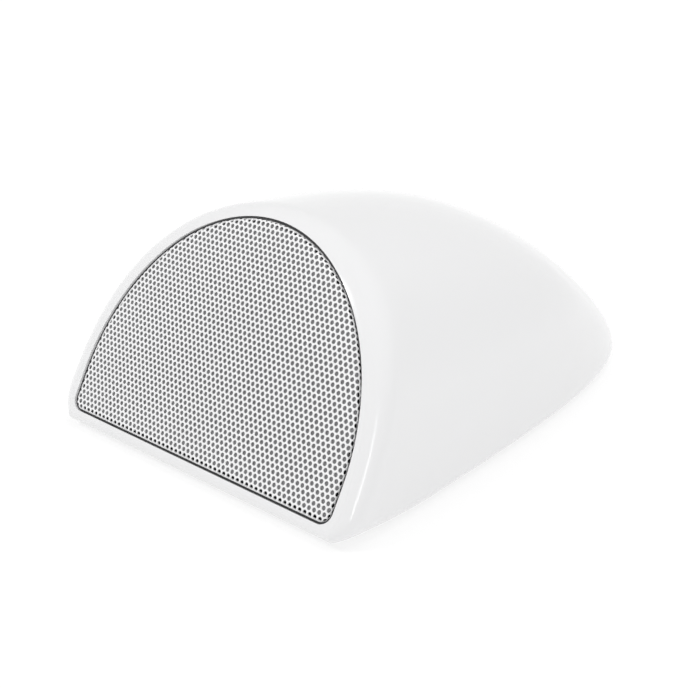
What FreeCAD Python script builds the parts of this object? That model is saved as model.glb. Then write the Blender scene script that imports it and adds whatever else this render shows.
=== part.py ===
"""Smart speaker: a low arch-section body with a leaning D-shaped grille at the front.

All sizes are in millimetres.  The maker's frame used below has its zero on the line
where the leaning front plane meets the underside of the body: X to the right, Y back
towards the tail, Z up.  Pieces of the front stack are drawn in the front plane
(x, f, depth): f runs up the slope from that line and depth runs into the body.
Export moves everything so that the origin is on the desk under the middle of the body.
"""
import FreeCAD
import Part

import math
import os
from FreeCAD import Vector

os.makedirs("parts", exist_ok=True)

# --- body form ---------------------------------------------------------------------
BODY_HALF_WIDTH = 67.0
BODY_HEIGHT = 82.5          # height that the roof line would have at the foot of the front
BODY_LENGTH = 203.0
FRONT_LEAN = 29.9           # degrees, front plane leans back from the vertical
PLAN_POWER = 4.2            # how late the plan outline starts to close in
PLAN_ROUND = 4.3            # how blunt the tail is in plan
TOP_POWER = 4.5             # how late the roof line starts to fall
TOP_ROUND = 1.05            # how blunt the tail is in side view
TOP_FALL = 0.14             # steady fall of the roof along the length
ARCH_SIDE = 1.95            # section exponents
ARCH_TOP = 2.48
WALL_SHARE = 0.10           # upright share of the section height
FRONT_ROUND = 6.7           # rounding between front and sides
BOTTOM_ROUND = 4.5          # between the sides and the underside
CORNER_ROUND = 13.0         # the same edge where it meets the front
CORNER_FADE = 45.0          # length over which the corner runs out
ROUND_SWEEP = 0.98          # sine of the arc that the skin roundings sweep
OVERRUN = 0.6               # the skin is drawn past the front and the underside, then cut
FOOT_ROUND = 4.0            # rounding of the acute edge under the front
WALL = 2.5
BEZEL = 3.0                 # wall of the front, along its normal
FLOOR = 2.5                 # turned-in bottom flange of the housing and base plate

# --- grille opening ------------------------------------------------------------------
SIDE_BORDER = 8.0           # bezel beside the opening, to the widest line of the body
CREST_BORDER = 3.8          # bezel above the opening, up the slope
OPENING_HALF_WIDTH = BODY_HALF_WIDTH - SIDE_BORDER
OPENING_FOOT = 7.0          # lower edge of the opening above the foot line, up the slope
OPENING_SPRING = 19.7       # where the straight sides pass into the arch
OPENING_CORNER = 4.5

# --- grille --------------------------------------------------------------------------
GRILLE_GAP = 0.9            # dark gap all round
GRILLE_SHEET = 0.5
GRILLE_SINK = 0.3           # grille face below the bezel face
GRILLE_BEND = 1.1           # outer radius of the rolled edge
HOLE_PITCH = 2.0
HOLE_DIAMETER = 1.4
HOLE_FIRST_ROW = 10.3       # height of the lowest row up the slope
HOLE_MARGIN = 0.3           # plain metal kept inside the bend
SCRIM_THICK = 0.3
SOFT_GAP = 0.3              # air kept round soft pieces
FRAME_FRONT = BEZEL         # depth at which the rolled edge of the grille lands
FRAME_THICK = 3.0
FRAME_WIDTH = 5.0
FRAME_SILL = 8.0            # top of the ring's lower bar
LIP_THICK = 1.2
RIM_FRONT = 0.8             # depth of the dark rim that shows in the gap round the grille
LIP_SILL = 4.4              # underside of the lip's lower bar
FIT_GAP = 0.2               # running clearance between rigid pieces

# --- baffle --------------------------------------------------------------------------
BAFFLE_THICK = 4.0
BAFFLE_SLACK = 1.2          # baffle outline inside the opening outline
LEDGE_GAP = 1.2             # room for the foam seal
LEDGE_THICK = 3.0
LEDGE_WIDTH = 5.0
LEDGE_SILL = 5.2            # top of the ledge's lower bar above the underside
STACK_SILL = FLOOR + 0.7    # nothing of the front stack goes below this

# --- fasteners -----------------------------------------------------------------------
SCREW_SHANK = 2.6
SCREW_HEAD = 5.0
SCREW_HEAD_HEIGHT = 1.8
SCREW_PLAY = 0.05           # radial, thread to pilot hole
SCREW_PASS = 0.25           # radial, shank to clearance hole
BOSS_DIAMETER = 8.0

# --- driver --------------------------------------------------------------------------
DRIVER_HEIGHT = 48.0        # axis up the slope
FLANGE_RADIUS = 33.0
FLANGE_THICK = 1.2
FLANGE_SEAT = 4.8           # flange on the baffle, from its rim to the hole in the baffle
FLANGE_LAND = 6.7           # flange outside the roll of the surround
FLANGE_SCREW_IN = 2.4       # screws inside the rim of the flange
BAFFLE_HOLE_RADIUS = FLANGE_RADIUS - FLANGE_SEAT
SEAL_RING_THICK = 0.8
SURROUND_ROLL = 4.8         # width of the roll
SURROUND_OUTER = FLANGE_RADIUS - FLANGE_LAND
SURROUND_INNER = SURROUND_OUTER - SURROUND_ROLL
SURROUND_SKIN = 0.5
CONE_SKIN = 0.5
CONE_DEPTH = 8.0
COIL_RADIUS = 9.7
FORMER_WALL = 0.3
WINDING_WALL = 0.9
AIR_GAP = 0.3
POLE_RADIUS = COIL_RADIUS - 0.4
CONE_TRAVEL = 2.0
TOP_PLATE_DEPTH = 14.8      # behind the front of the flange
TOP_PLATE_THICK = 3.0
MAGNET_RADIUS = 18.0
MAGNET_THICK = 7.0
YOKE_THICK = 3.0
DRIVER_SCREW_CIRCLE = FLANGE_RADIUS - FLANGE_SCREW_IN

# --- base ----------------------------------------------------------------------------
BASE_INSET = 9.0            # opening in the underside, inside the outline
BASE_FRONT = 14.0
BASE_SLACK = 0.3
FOOT_GAP = 1.2              # body above the desk
FOOT_DIAMETER = 14.0
FOOT_THICK = 2.2
BASE_BOSS_RISE = 8.0

# --- electronics ---------------------------------------------------------------------
BOARD_FRONT = 84.0
BOARD_LENGTH = 58.0
BOARD_WIDTH = 72.0
BOARD_THICK = 1.6
BOARD_HEIGHT = 8.5          # underside of the main board
PORT_PLANE = BODY_LENGTH - 43.0   # outer face of the port panel, ahead of the tail
PORT_PANEL = 2.0
TUB_HALF_WIDTH = 27.0
TUB_FLOOR = 5.0
TUB_ROOF = 26.0
TUB_WALL = 1.6
PORT_BOARD_GAP = 8.4        # port board to the inner face of the panel
PORT_ROW = 15.5             # height of the row of ports
JACK_BORE = 5.6
JACK_PIN = 2.0
JACK_NOSE = 8.0
BUTTON_X = -14.0
BUTTON_DIAMETER = 7.0
BUTTON_TRAVEL = 0.8
SLIDER_X = 14.0
SLIDER_TRAVEL = 3.0
SLIDER_NUB = 4.0
SLIDER_HIGH = 3.0

LEAN = math.radians(FRONT_LEAN)
BAFFLE_FRONT = FRAME_FRONT + FRAME_THICK
BAFFLE_BACK = BAFFLE_FRONT + BAFFLE_THICK
LEDGE_FRONT = BAFFLE_BACK + LEDGE_GAP
LEDGE_BACK = LEDGE_FRONT + LEDGE_THICK
FLANGE_FRONT = BAFFLE_BACK + SEAL_RING_THICK
BIG = 400.0


# --- general helpers -----------------------------------------------------------------
def export(name, shape, middle):
    """Move a piece to the desk frame, whose origin is under the middle of the body."""
    moved = shape.copy()
    moved.translate(Vector(0, -middle, FOOT_GAP))
    moved.exportStep("parts/" + name + ".step")


def group(shapes):
    """Several separate solids kept in one node."""
    return Part.makeCompound(shapes)


def box(x0, x1, y0, y1, z0, z1):
    """Box between two corners."""
    return Part.makeBox(x1 - x0, y1 - y0, z1 - z0, Vector(x0, y0, z0))


def rod(radius, start, direction, length):
    """Cylinder from a start point along a direction."""
    return Part.makeCylinder(radius, length, start, direction)


def tube(outer, inner, start, direction, length):
    """Hollow cylinder."""
    return rod(outer, start, direction, length).cut(rod(inner, start, direction, length))


def on_front(shape):
    """Put a shape drawn in the front plane (x, f, outward) into the maker's frame."""
    moved = shape.copy()
    moved.rotate(Vector(0, 0, 0), Vector(1, 0, 0), 90 - FRONT_LEAN)
    return moved


def front_point(x, f, depth):
    """Point of the front stack in the maker's frame."""
    y = f * math.sin(LEAN) + depth * math.cos(LEAN)
    z = f * math.cos(LEAN) - depth * math.sin(LEAN)
    return Vector(x, y, z)


INWARD = Vector(0, math.cos(LEAN), -math.sin(LEAN))


def above(shape, height):
    """Part of a shape that is higher than a level."""
    return shape.cut(box(-BIG, BIG, -BIG, BIG, height - BIG, height))


# --- body form -----------------------------------------------------------------------
def round_tuck(radius, depth):
    """How far a rounded edge stays inside the full outline at a depth under its plane."""
    low = radius * ROUND_SWEEP - depth
    if radius == 0.0 or low <= 0.0:
        return 0.0
    if depth >= 0.0:
        return radius - math.sqrt(radius ** 2 - low ** 2)
    level = math.sqrt(1 - ROUND_SWEEP ** 2)
    return radius * (1 - level) - depth * ROUND_SWEEP / level


def form_reach(inset, under_round, foot, slope, angle):
    """Distance from a point of the centre line to the skin, within a leaning plane."""
    across = abs(math.cos(angle))
    back = math.sin(angle) * math.sin(slope)
    up = math.sin(angle) * math.cos(slope)
    near, far = 0.0, BIG
    for _ in range(44):
        reach = (near + far) / 2
        height = reach * up - OVERRUN
        tuck = inset + round_tuck(under_round, height)
        share = max((foot + reach * back) / (BODY_LENGTH - tuck), 0.0)
        inside = share < 1.0
        if inside:
            fall = (1 - TOP_FALL * share) * (1 - share ** TOP_POWER) ** (1 / TOP_ROUND)
            wide = (BODY_HALF_WIDTH - tuck) * (1 - share ** PLAN_POWER) ** (1 / PLAN_ROUND)
            lift = max(height / ((BODY_HEIGHT - tuck) * fall) - WALL_SHARE, 0.0)
            lift = lift / (1 - WALL_SHARE)
            inside = (reach * across / wide) ** ARCH_SIDE + lift ** ARCH_TOP < 1.0
        if inside:
            near = reach
        else:
            far = reach
    return near


OPENING_RISE = form_reach(0.0, 0.0, 0.0, LEAN, math.pi / 2) - CREST_BORDER - OPENING_SPRING


def lower_round(foot, under_round):
    """Rounding under a section, larger close behind the front."""
    if under_round == 0.0:
        return 0.0
    share = min(max(foot / CORNER_FADE, 0.0), 1.0)
    return under_round + (CORNER_ROUND - BOTTOM_ROUND) * (1 - share) ** 2


def form(inset, front_depth, front_round=0.0, under_round=0.0):
    """Closed body: a skin through leaning sections, cut flat at the front and underneath."""
    turns = [math.asin(ROUND_SWEEP) * (1 - step / 6) for step in range(7)]
    depths = [-OVERRUN] + [front_round * (ROUND_SWEEP - math.sin(turn)) for turn in turns]
    if not front_round:
        depths = [-OVERRUN]
    sections = []
    for depth in depths:
        foot = (front_depth + depth) / math.cos(LEAN) - OVERRUN * math.tan(LEAN)
        sections.append((foot, LEAN, inset + round_tuck(front_round, depth)))
    first = sections[-1][0]
    last = 0.62 * (BODY_LENGTH - inset)
    steps = 22
    for step in range(1, steps + 1):
        along = step / steps
        slope = math.pi / 2 - (math.pi / 2 - LEAN) * (1 - along) ** 1.7
        sections.append((first + (last - first) * along, slope, inset))
    spokes = [math.radians(12) * step / 13 for step in range(13)]
    spokes += [math.radians(12 + 24 * step / 5) for step in range(5)]
    spokes += [math.radians(36 + 54 * step / 9) for step in range(9)]
    spokes += [math.pi / 2] + [math.pi - spoke for spoke in reversed(spokes)]
    rows = []
    for foot, slope, tuck in sections:
        row = []
        for angle in spokes:
            reach = form_reach(tuck, lower_round(foot, under_round), foot, slope, angle)
            along = reach * math.sin(angle)
            row.append(Vector(reach * math.cos(angle), foot + along * math.sin(slope),
                              along * math.cos(slope) - OVERRUN))
        rows.append(row)
    surface = Part.BSplineSurface()
    surface.interpolate(rows)
    skin = surface.toShape()
    front_edge, right, rear, left = skin.Edges
    foot_line = Part.makeLine(rows[0][0], rows[0][-1])
    chord = Part.makeLine(rows[-1][0], rows[-1][-1])
    faces = [skin]
    for one, other in ((front_edge, foot_line), (right, left), (rear, chord)):
        faces.append(Part.makeRuledSurface(one, other))
    shell = Part.Shell(faces)
    shell.sewShape()
    solid = Part.Solid(shell)
    if solid.Volume < 0:
        solid.reverse()
    front = on_front(box(-BIG, BIG, -BIG, BIG, -front_depth, BIG))
    return above(solid, 0.0).cut(front)


def plan_block(inset, front, low, high):
    """Upright block with the plan outline of the body, inset, behind a straight front."""
    points = []
    for step in range(31):
        angle = math.pi * step / 30
        reach = form_reach(inset, 0.0, front, math.pi / 2, angle)
        points.append(Vector(reach * math.cos(angle), front + reach * math.sin(angle), low))
    curve = Part.BSplineCurve()
    curve.interpolate(points)
    wire = Part.Wire([curve.toShape(), Part.makeLine(points[-1], points[0])])
    return Part.Face(wire).extrude(Vector(0, 0, high - low))


def foot_rounding():
    """Tool that rounds the acute edge between the front and the underside."""
    half_angle = (math.pi / 2 - LEAN) / 2
    setback = FOOT_ROUND / math.tan(half_angle)
    reach = FOOT_ROUND / math.sin(half_angle) - FOOT_ROUND
    side = BODY_HALF_WIDTH + 5
    on_slope = Vector(-side, setback * math.sin(LEAN), setback * math.cos(LEAN))
    on_floor = Vector(-side, setback, 0)
    middle = Vector(-side, reach * math.cos(half_angle), reach * math.sin(half_angle))
    outside = Vector(-side, -setback, -setback)
    edges = [
        Part.Arc(on_slope, middle, on_floor).toShape(),
        Part.makeLine(on_floor, Vector(-side, setback, -setback)),
        Part.makeLine(Vector(-side, setback, -setback), outside),
        Part.makeLine(outside, Vector(-side, -setback, on_slope.z)),
        Part.makeLine(Vector(-side, -setback, on_slope.z), on_slope),
    ]
    return Part.Face(Part.Wire(edges)).extrude(Vector(2 * side, 0, 0))


# --- D-shaped outlines of the front stack ----------------------------------------------
def d_face(offset):
    """Flat D shape in the front plane, larger than the opening by the offset."""
    half = OPENING_HALF_WIDTH + offset
    rise = OPENING_RISE + offset
    foot = OPENING_FOOT - offset
    corner = max(OPENING_CORNER + offset, 0.6)
    spring = OPENING_SPRING
    diagonal = corner * (1 - math.sqrt(0.5))
    centre, crest, side = Vector(0, spring, 0), Vector(0, spring + rise, 0), Vector(half, spring, 0)
    if rise >= half:
        arch, start = Part.Ellipse(crest, side, centre), -math.pi / 2
    else:
        arch, start = Part.Ellipse(side, crest, centre), 0.0
    edges = [
        Part.makeLine(Vector(-half + corner, foot, 0), Vector(half - corner, foot, 0)),
        Part.Arc(Vector(half - corner, foot, 0), Vector(half - diagonal, foot + diagonal, 0),
                 Vector(half, foot + corner, 0)).toShape(),
        Part.makeLine(Vector(half, foot + corner, 0), Vector(half, spring, 0)),
        Part.Arc(arch, start, start + math.pi).toShape(),
        Part.makeLine(Vector(-half, spring, 0), Vector(-half, foot + corner, 0)),
        Part.Arc(Vector(-half, foot + corner, 0), Vector(-half + diagonal, foot + diagonal, 0),
                 Vector(-half + corner, foot, 0)).toShape(),
    ]
    return Part.Face(Part.Wire(Part.__sortEdges__(edges)))


def d_block(offset, near, far):
    """D-shaped block between two depths, still in the front plane's axes."""
    face = d_face(offset)
    face.translate(Vector(0, 0, -near))
    return face.extrude(Vector(0, 0, near - far))


def d_prism(offset, near, far):
    """D-shaped block between two depths, in the maker's frame."""
    return on_front(d_block(offset, near, far))


def turned(profile, f=DRIVER_HEIGHT):
    """Solid of revolution about the driver axis from (radius, depth) points or edges."""
    points = [Vector(radius, 0, -depth) for radius, depth in profile]
    wire = Part.makePolygon(points + [points[0]])
    solid = Part.Face(wire).revolve(Vector(0, 0, 0), Vector(0, 0, 1), 360)
    solid.translate(Vector(0, f, 0))
    return on_front(solid)


def lead(points, bend, radius):
    """Round wire along straight runs joined by tangent arcs."""
    edges = []
    here = points[0]
    for before, corner, after in zip(points, points[1:], points[2:]):
        into = (corner - before).normalize()
        out = (after - corner).normalize()
        half_turn = into.getAngle(out) / 2
        cut = bend * math.tan(half_turn)
        first = corner - into * cut
        second = corner + out * cut
        towards = (out - into).normalize()
        middle = corner + towards * (bend / math.cos(half_turn) - bend)
        edges.append(Part.makeLine(here, first))
        edges.append(Part.Arc(first, middle, second).toShape())
        here = second
    edges.append(Part.makeLine(here, points[-1]))
    path = Part.Wire(edges)
    along = (points[1] - points[0]).normalize()
    ring = Part.Wire(Part.makeCircle(radius, points[0], along))
    return path.makePipeShell([ring], True, True)


# --- places shared by several pieces -----------------------------------------------------
def arch_spot(offset, angle):
    """Point of the front plane on the D outline grown by the offset, angle from the right."""
    half = OPENING_HALF_WIDTH + offset
    rise = OPENING_RISE + offset
    return half * math.cos(angle), OPENING_SPRING + rise * math.sin(angle)


BAFFLE_SPOTS = []
for turn in (8, 58):
    spot_x, spot_f = arch_spot(-LEDGE_WIDTH, math.radians(turn))
    BAFFLE_SPOTS += [(spot_x, spot_f), (-spot_x, spot_f)]

BASE_SPOTS = []
BASE_ROWS = [(21.0, BASE_FRONT + 20.0), (21.0, BASE_FRONT + 78.0), (25.6, BODY_LENGTH - 57.0)]
for in_from_side, spot_y in BASE_ROWS:
    BASE_SPOTS += [(side * (BODY_HALF_WIDTH - in_from_side), spot_y) for side in (-1, 1)]
FOOT_SPOTS = []
for in_from_side, spot_y in ((27.0, BASE_FRONT + 10.0), (33.0, BODY_LENGTH - 45.0)):
    FOOT_SPOTS += [(side * (BODY_HALF_WIDTH - in_from_side), spot_y) for side in (-1, 1)]
BOARD_HOLE_INSET = 4.0
BOARD_SPOTS = [
    (side * (BOARD_WIDTH / 2 - BOARD_HOLE_INSET), y)
    for side in (-1, 1)
    for y in (BOARD_FRONT + BOARD_HOLE_INSET, BOARD_FRONT + BOARD_LENGTH - BOARD_HOLE_INSET)
]
TUB_SPOTS = [(-20.0, PORT_PLANE + 9.0), (20.0, PORT_PLANE + 9.0)]
MIC_SPOTS = [(-43.0, 30.0), (43.0, 30.0)]
UP = Vector(0, 0, 1)
BACK = Vector(0, 1, 0)


def screw(seat, direction, length, head=SCREW_HEAD, head_height=SCREW_HEAD_HEIGHT, shank=SCREW_SHANK):
    """Pan-head screw; the seat is under the head and the direction is the way it is driven."""
    top = rod(head / 2, seat - direction * head_height, direction, head_height)
    body = rod(shank / 2, seat, direction, length)
    drive = rod(head * 0.22, seat - direction * head_height, direction, head_height * 0.55)
    return top.fuse(body).cut(drive).removeSplitter()


# --- housing shell ---------------------------------------------------------------------
BAFFLE_SEAT = BAFFLE_FRONT + 2.2
BAFFLE_SCREW_LENGTH = 9.0
BASE_SCREW_LENGTH = 7.0
BASE_HEAD_SINK = 0.9
BASE_SEAT = FLOOR - 1.4


def make_housing():
    """White one-piece housing with bezel, ledge, bosses and the port cut-out."""
    outer = form(0.0, 0.0, FRONT_ROUND, BOTTOM_ROUND).cut(foot_rounding())
    room = above(form(WALL, BEZEL, 0.0, BOTTOM_ROUND), FLOOR)
    shell = outer.cut(room)
    shell = shell.cut(d_prism(0.0, -2.0, BEZEL + 0.5))
    shell = shell.cut(plan_block(BASE_INSET, BASE_FRONT, -1.0, FLOOR + 1.0))
    slab = on_front(box(-BIG, BIG, -BIG, BIG, -LEDGE_BACK, -LEDGE_FRONT))
    inner = above(d_prism(-LEDGE_WIDTH, LEDGE_FRONT - 1, LEDGE_BACK + 1), LEDGE_SILL)
    shell = shell.fuse(room.common(slab).cut(inner))
    for x, f in BAFFLE_SPOTS:
        top = front_point(x, f, BAFFLE_BACK)
        shell = shell.fuse(rod(BOSS_DIAMETER / 2, top, INWARD, 10.0).common(room))
        shell = shell.cut(rod(SCREW_SHANK / 2 + SCREW_PLAY, top, INWARD, 8.0))
    for x, y in BASE_SPOTS:
        side = 1 if x > 0 else -1
        arm = box(min(x, side * BIG), max(x, side * BIG), y - 3, y + 3, FLOOR, FLOOR + BASE_BOSS_RISE)
        boss = rod(BOSS_DIAMETER / 2, Vector(x, y, FLOOR), UP, BASE_BOSS_RISE)
        shell = shell.fuse(boss.fuse(arm).common(room))
        shell = shell.cut(rod(SCREW_SHANK / 2 + SCREW_PLAY, Vector(x, y, FLOOR), UP, BASE_BOSS_RISE - 1))
    slot = TUB_HALF_WIDTH + FIT_GAP
    shell = shell.cut(box(-slot, slot, PORT_PLANE, BIG, TUB_FLOOR - FIT_GAP, TUB_ROOF + FIT_GAP))
    return shell.removeSplitter()


# --- grille, scrim and frame --------------------------------------------------------------
def hole_spots():
    """Centres of the staggered holes on the flat part of the grille."""
    limit = -GRILLE_GAP - GRILLE_BEND - HOLE_MARGIN - HOLE_DIAMETER / 2
    half = OPENING_HALF_WIDTH + limit
    rise = OPENING_RISE + limit
    step = HOLE_PITCH * math.sqrt(3) / 2
    spots = []
    for row in range(int((OPENING_SPRING + rise - HOLE_FIRST_ROW) / step) + 1):
        f = HOLE_FIRST_ROW + row * step
        lift = max((f - OPENING_SPRING) / rise, 0.0)
        reach = half * math.sqrt(max(1 - lift ** 2, 0.0))
        shift = HOLE_PITCH / 2 * (row % 2)
        count = int((reach + shift) / HOLE_PITCH)
        for column in range(-count, count + 1):
            x = column * HOLE_PITCH + shift
            if abs(x) <= reach:
                spots.append((x, f))
    return spots


def make_grille():
    """Perforated steel sheet with its edge bent back into the opening."""
    inner = -GRILLE_GAP - GRILLE_SHEET
    front = GRILLE_SINK
    back = FRAME_FRONT
    outer_block = d_block(-GRILLE_GAP, front, back)
    rim = [e for e in outer_block.Edges if abs(e.BoundBox.ZMax + front) < 0.01]
    rim = [e for e in rim if e.BoundBox.ZLength < 0.01]
    outer_block = outer_block.makeFillet(GRILLE_BEND, rim)
    tray = outer_block.cut(d_block(inner, front + GRILLE_SHEET, back + 1.0))
    tray = above(on_front(tray), STACK_SILL + FIT_GAP)
    top = front - 1.0
    holes = []
    for x, f in hole_spots():
        holes.append(Part.Wire(Part.makeCircle(HOLE_DIAMETER / 2, Vector(x, f, -top))))
    cutter = group([Part.Face(wire).extrude(Vector(0, 0, -GRILLE_SHEET - 2.0)) for wire in holes])
    return tray.cut(on_front(cutter))


def make_scrim():
    """Acoustic cloth behind the grille."""
    near = GRILLE_SINK + GRILLE_SHEET + SOFT_GAP
    cloth = d_prism(-GRILLE_GAP - GRILLE_SHEET - 2 * SOFT_GAP, near, near + SCRIM_THICK)
    return above(cloth, STACK_SILL + 2 * SOFT_GAP)


def make_frame():
    """Dark ring that the bent edge of the grille lands on, with a lip inside that edge."""
    ring = d_prism(-FIT_GAP, FRAME_FRONT, BAFFLE_FRONT)
    ring = ring.cut(above(d_prism(-GRILLE_GAP - FRAME_WIDTH, 0, BAFFLE_FRONT + 1), FRAME_SILL))
    lip_out = -GRILLE_GAP - GRILLE_SHEET - FIT_GAP
    lip_front = GRILLE_SINK + GRILLE_SHEET + 2 * SOFT_GAP + SCRIM_THICK
    lip = above(d_prism(lip_out, lip_front, FRAME_FRONT), LIP_SILL)
    lip = lip.cut(above(d_prism(lip_out - LIP_THICK, 0, FRAME_FRONT + 1), LIP_SILL + LIP_THICK))
    rim = d_prism(-FIT_GAP, RIM_FRONT, FRAME_FRONT + 0.1)
    rim = rim.cut(d_prism(-GRILLE_GAP + FIT_GAP, 0, FRAME_FRONT))
    return above(ring.fuse(lip).fuse(rim), STACK_SILL).removeSplitter()


# --- baffle --------------------------------------------------------------------------------
MIC_HOLE_RADIUS = 1.6
DRIVER_SCREW_SPOTS = []
for turn in (45, 135, 225, 315):
    DRIVER_SCREW_SPOTS.append((DRIVER_SCREW_CIRCLE * math.cos(math.radians(turn)),
                               DRIVER_HEIGHT + DRIVER_SCREW_CIRCLE * math.sin(math.radians(turn))))
DRIVER_SCREW_LENGTH = 5.0


def make_baffle():
    """Board that carries the driver and closes the body behind the grille."""
    board = above(d_prism(-BAFFLE_SLACK, BAFFLE_FRONT, BAFFLE_BACK), STACK_SILL)
    board = board.cut(rod(BAFFLE_HOLE_RADIUS, front_point(0, DRIVER_HEIGHT, 0), INWARD, BAFFLE_BACK + 1))
    for x, f in BAFFLE_SPOTS:
        board = board.cut(rod(SCREW_HEAD / 2 + SCREW_PASS, front_point(x, f, 0), INWARD, BAFFLE_SEAT))
        board = board.cut(rod(SCREW_SHANK / 2 + SCREW_PASS, front_point(x, f, 0), INWARD, BAFFLE_BACK + 1))
    for x, f in DRIVER_SCREW_SPOTS:
        start = front_point(x, f, BAFFLE_FRONT + 0.8)
        board = board.cut(rod(SCREW_SHANK / 2 + SCREW_PLAY, start, INWARD, BAFFLE_THICK))
    for x, f in MIC_SPOTS:
        board = board.cut(rod(MIC_HOLE_RADIUS, front_point(x, f, 0), INWARD, BAFFLE_BACK + 1))
    return board


def make_gasket():
    """Foam seal between the baffle and the ledge."""
    near = BAFFLE_BACK + SOFT_GAP
    far = LEDGE_FRONT - SOFT_GAP
    ring = above(d_prism(-BAFFLE_SLACK, near, far), STACK_SILL + SOFT_GAP)
    ring = ring.cut(above(d_prism(-LEDGE_WIDTH, near - 1, far + 1), LEDGE_SILL))
    for x, f in BAFFLE_SPOTS:
        ring = ring.cut(rod(BOSS_DIAMETER / 2 + SOFT_GAP, front_point(x, f, 0), INWARD, BIG))
    return group([strip for strip in ring.Solids if strip.Volume > 5.0])


def largest(shape):
    """The biggest solid of a shape that may hold slivers."""
    return max(shape.Solids, key=lambda solid: solid.Volume)


def make_baffle_screws():
    """Screws that pull the baffle on to the housing bosses."""
    return group([screw(front_point(x, f, BAFFLE_SEAT), INWARD, BAFFLE_SCREW_LENGTH)
                  for x, f in BAFFLE_SPOTS])


# --- driver --------------------------------------------------------------------------------
FLANGE_BACK = FLANGE_FRONT + FLANGE_THICK
TOP_PLATE_FRONT = FLANGE_FRONT + TOP_PLATE_DEPTH
TOP_PLATE_BACK = TOP_PLATE_FRONT + TOP_PLATE_THICK
MAGNET_BACK = TOP_PLATE_BACK + MAGNET_THICK
FORMER_OUTER = COIL_RADIUS + FORMER_WALL
WINDING_OUTER = FORMER_OUTER + WINDING_WALL
PLATE_BORE = WINDING_OUTER + AIR_GAP
PLATE_RADIUS = MAGNET_RADIUS - 0.5
CONE_RIM_DEPTH = FLANGE_FRONT + 0.1
NECK_DEPTH = CONE_RIM_DEPTH + CONE_DEPTH
SPIDER_DEPTH = NECK_DEPTH + 1.8
SPIDER_OUTER = 17.6
SPIDER_DISH = 1.6           # the middle sits deeper than the outer land
SHELF_RADIUS = 20.0
SURROUND_LAND = 1.8


def make_surround():
    """Half-roll edge with an outer land on the flange and an inner land on the cone rim."""
    middle = (SURROUND_OUTER + SURROUND_INNER) / 2
    roll = (SURROUND_OUTER - SURROUND_INNER) / 2
    base = FLANGE_FRONT
    skin = SURROUND_SKIN
    outline = [
        Part.makeLine(Vector(SURROUND_OUTER + SURROUND_LAND, 0, -base),
                      Vector(SURROUND_OUTER + SURROUND_LAND, 0, -base + skin)),
        Part.makeLine(Vector(SURROUND_OUTER + SURROUND_LAND, 0, -base + skin),
                      Vector(SURROUND_OUTER, 0, -base + skin)),
        Part.Arc(Vector(SURROUND_OUTER, 0, -base + skin), Vector(middle, 0, -base + skin + roll),
                 Vector(SURROUND_INNER, 0, -base + skin)).toShape(),
        Part.makeLine(Vector(SURROUND_INNER, 0, -base + skin),
                      Vector(SURROUND_INNER - SURROUND_LAND, 0, -base + skin)),
        Part.makeLine(Vector(SURROUND_INNER - SURROUND_LAND, 0, -base + skin),
                      Vector(SURROUND_INNER - SURROUND_LAND, 0, -base)),
        Part.makeLine(Vector(SURROUND_INNER - SURROUND_LAND, 0, -base),
                      Vector(SURROUND_INNER + skin, 0, -base)),
        Part.Arc(Vector(SURROUND_INNER + skin, 0, -base), Vector(middle, 0, -base + roll - skin),
                 Vector(SURROUND_OUTER - skin, 0, -base)).toShape(),
        Part.makeLine(Vector(SURROUND_OUTER - skin, 0, -base),
                      Vector(SURROUND_OUTER + SURROUND_LAND, 0, -base)),
    ]
    solid = Part.Face(Part.Wire(outline)).revolve(Vector(0, 0, 0), Vector(0, 0, 1), 360)
    solid.translate(Vector(0, DRIVER_HEIGHT, 0))
    return on_front(solid)


def make_cone():
    """Paper cone from the surround land down to the neck on the former."""
    rim = SURROUND_INNER
    neck = FORMER_OUTER + 0.05
    return turned([(rim, CONE_RIM_DEPTH), (rim, CONE_RIM_DEPTH + CONE_SKIN),
                   (rim - 1.6, CONE_RIM_DEPTH + CONE_SKIN + 0.2), (neck + 0.6, NECK_DEPTH),
                   (neck + 0.6, NECK_DEPTH + 0.8), (neck, NECK_DEPTH + 0.8), (neck, NECK_DEPTH - 0.5),
                   (rim - 1.8, CONE_RIM_DEPTH)])


def make_dust_cap():
    """Shallow dome over the neck."""
    rise = 3.4
    skin = 0.5
    base = NECK_DEPTH - 0.7
    outer, inner = [], []
    for step in range(9):
        turn = math.pi / 2 * step / 8
        outer.append((FORMER_OUTER * math.cos(turn), base - rise * math.sin(turn)))
        inner.append(((FORMER_OUTER - skin) * math.cos(turn), base - (rise - skin) * math.sin(turn)))
    outer[-1] = (0.0, base - rise)
    inner[-1] = (0.0, base - rise + skin)
    return turned(outer + inner[::-1])


def make_spider():
    """Corrugated centring disc between the former and the basket shelf."""
    waves = 5
    inner = FORMER_OUTER + 0.05
    pitch = (SPIDER_OUTER - inner) / (2 * waves)
    upper, lower = [], []
    for step in range(2 * waves + 1):
        wave = 0.5 if step % 2 else 0.0
        level = SPIDER_DEPTH + SPIDER_DISH * (1 - step / (2 * waves)) - wave
        upper.append((inner + step * pitch, level))
        lower.append((inner + step * pitch, level + 0.4))
    upper.append((SPIDER_OUTER + 1.0, SPIDER_DEPTH))
    lower.append((SPIDER_OUTER + 1.0, SPIDER_DEPTH + 0.4))
    return turned(upper + lower[::-1])


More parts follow.
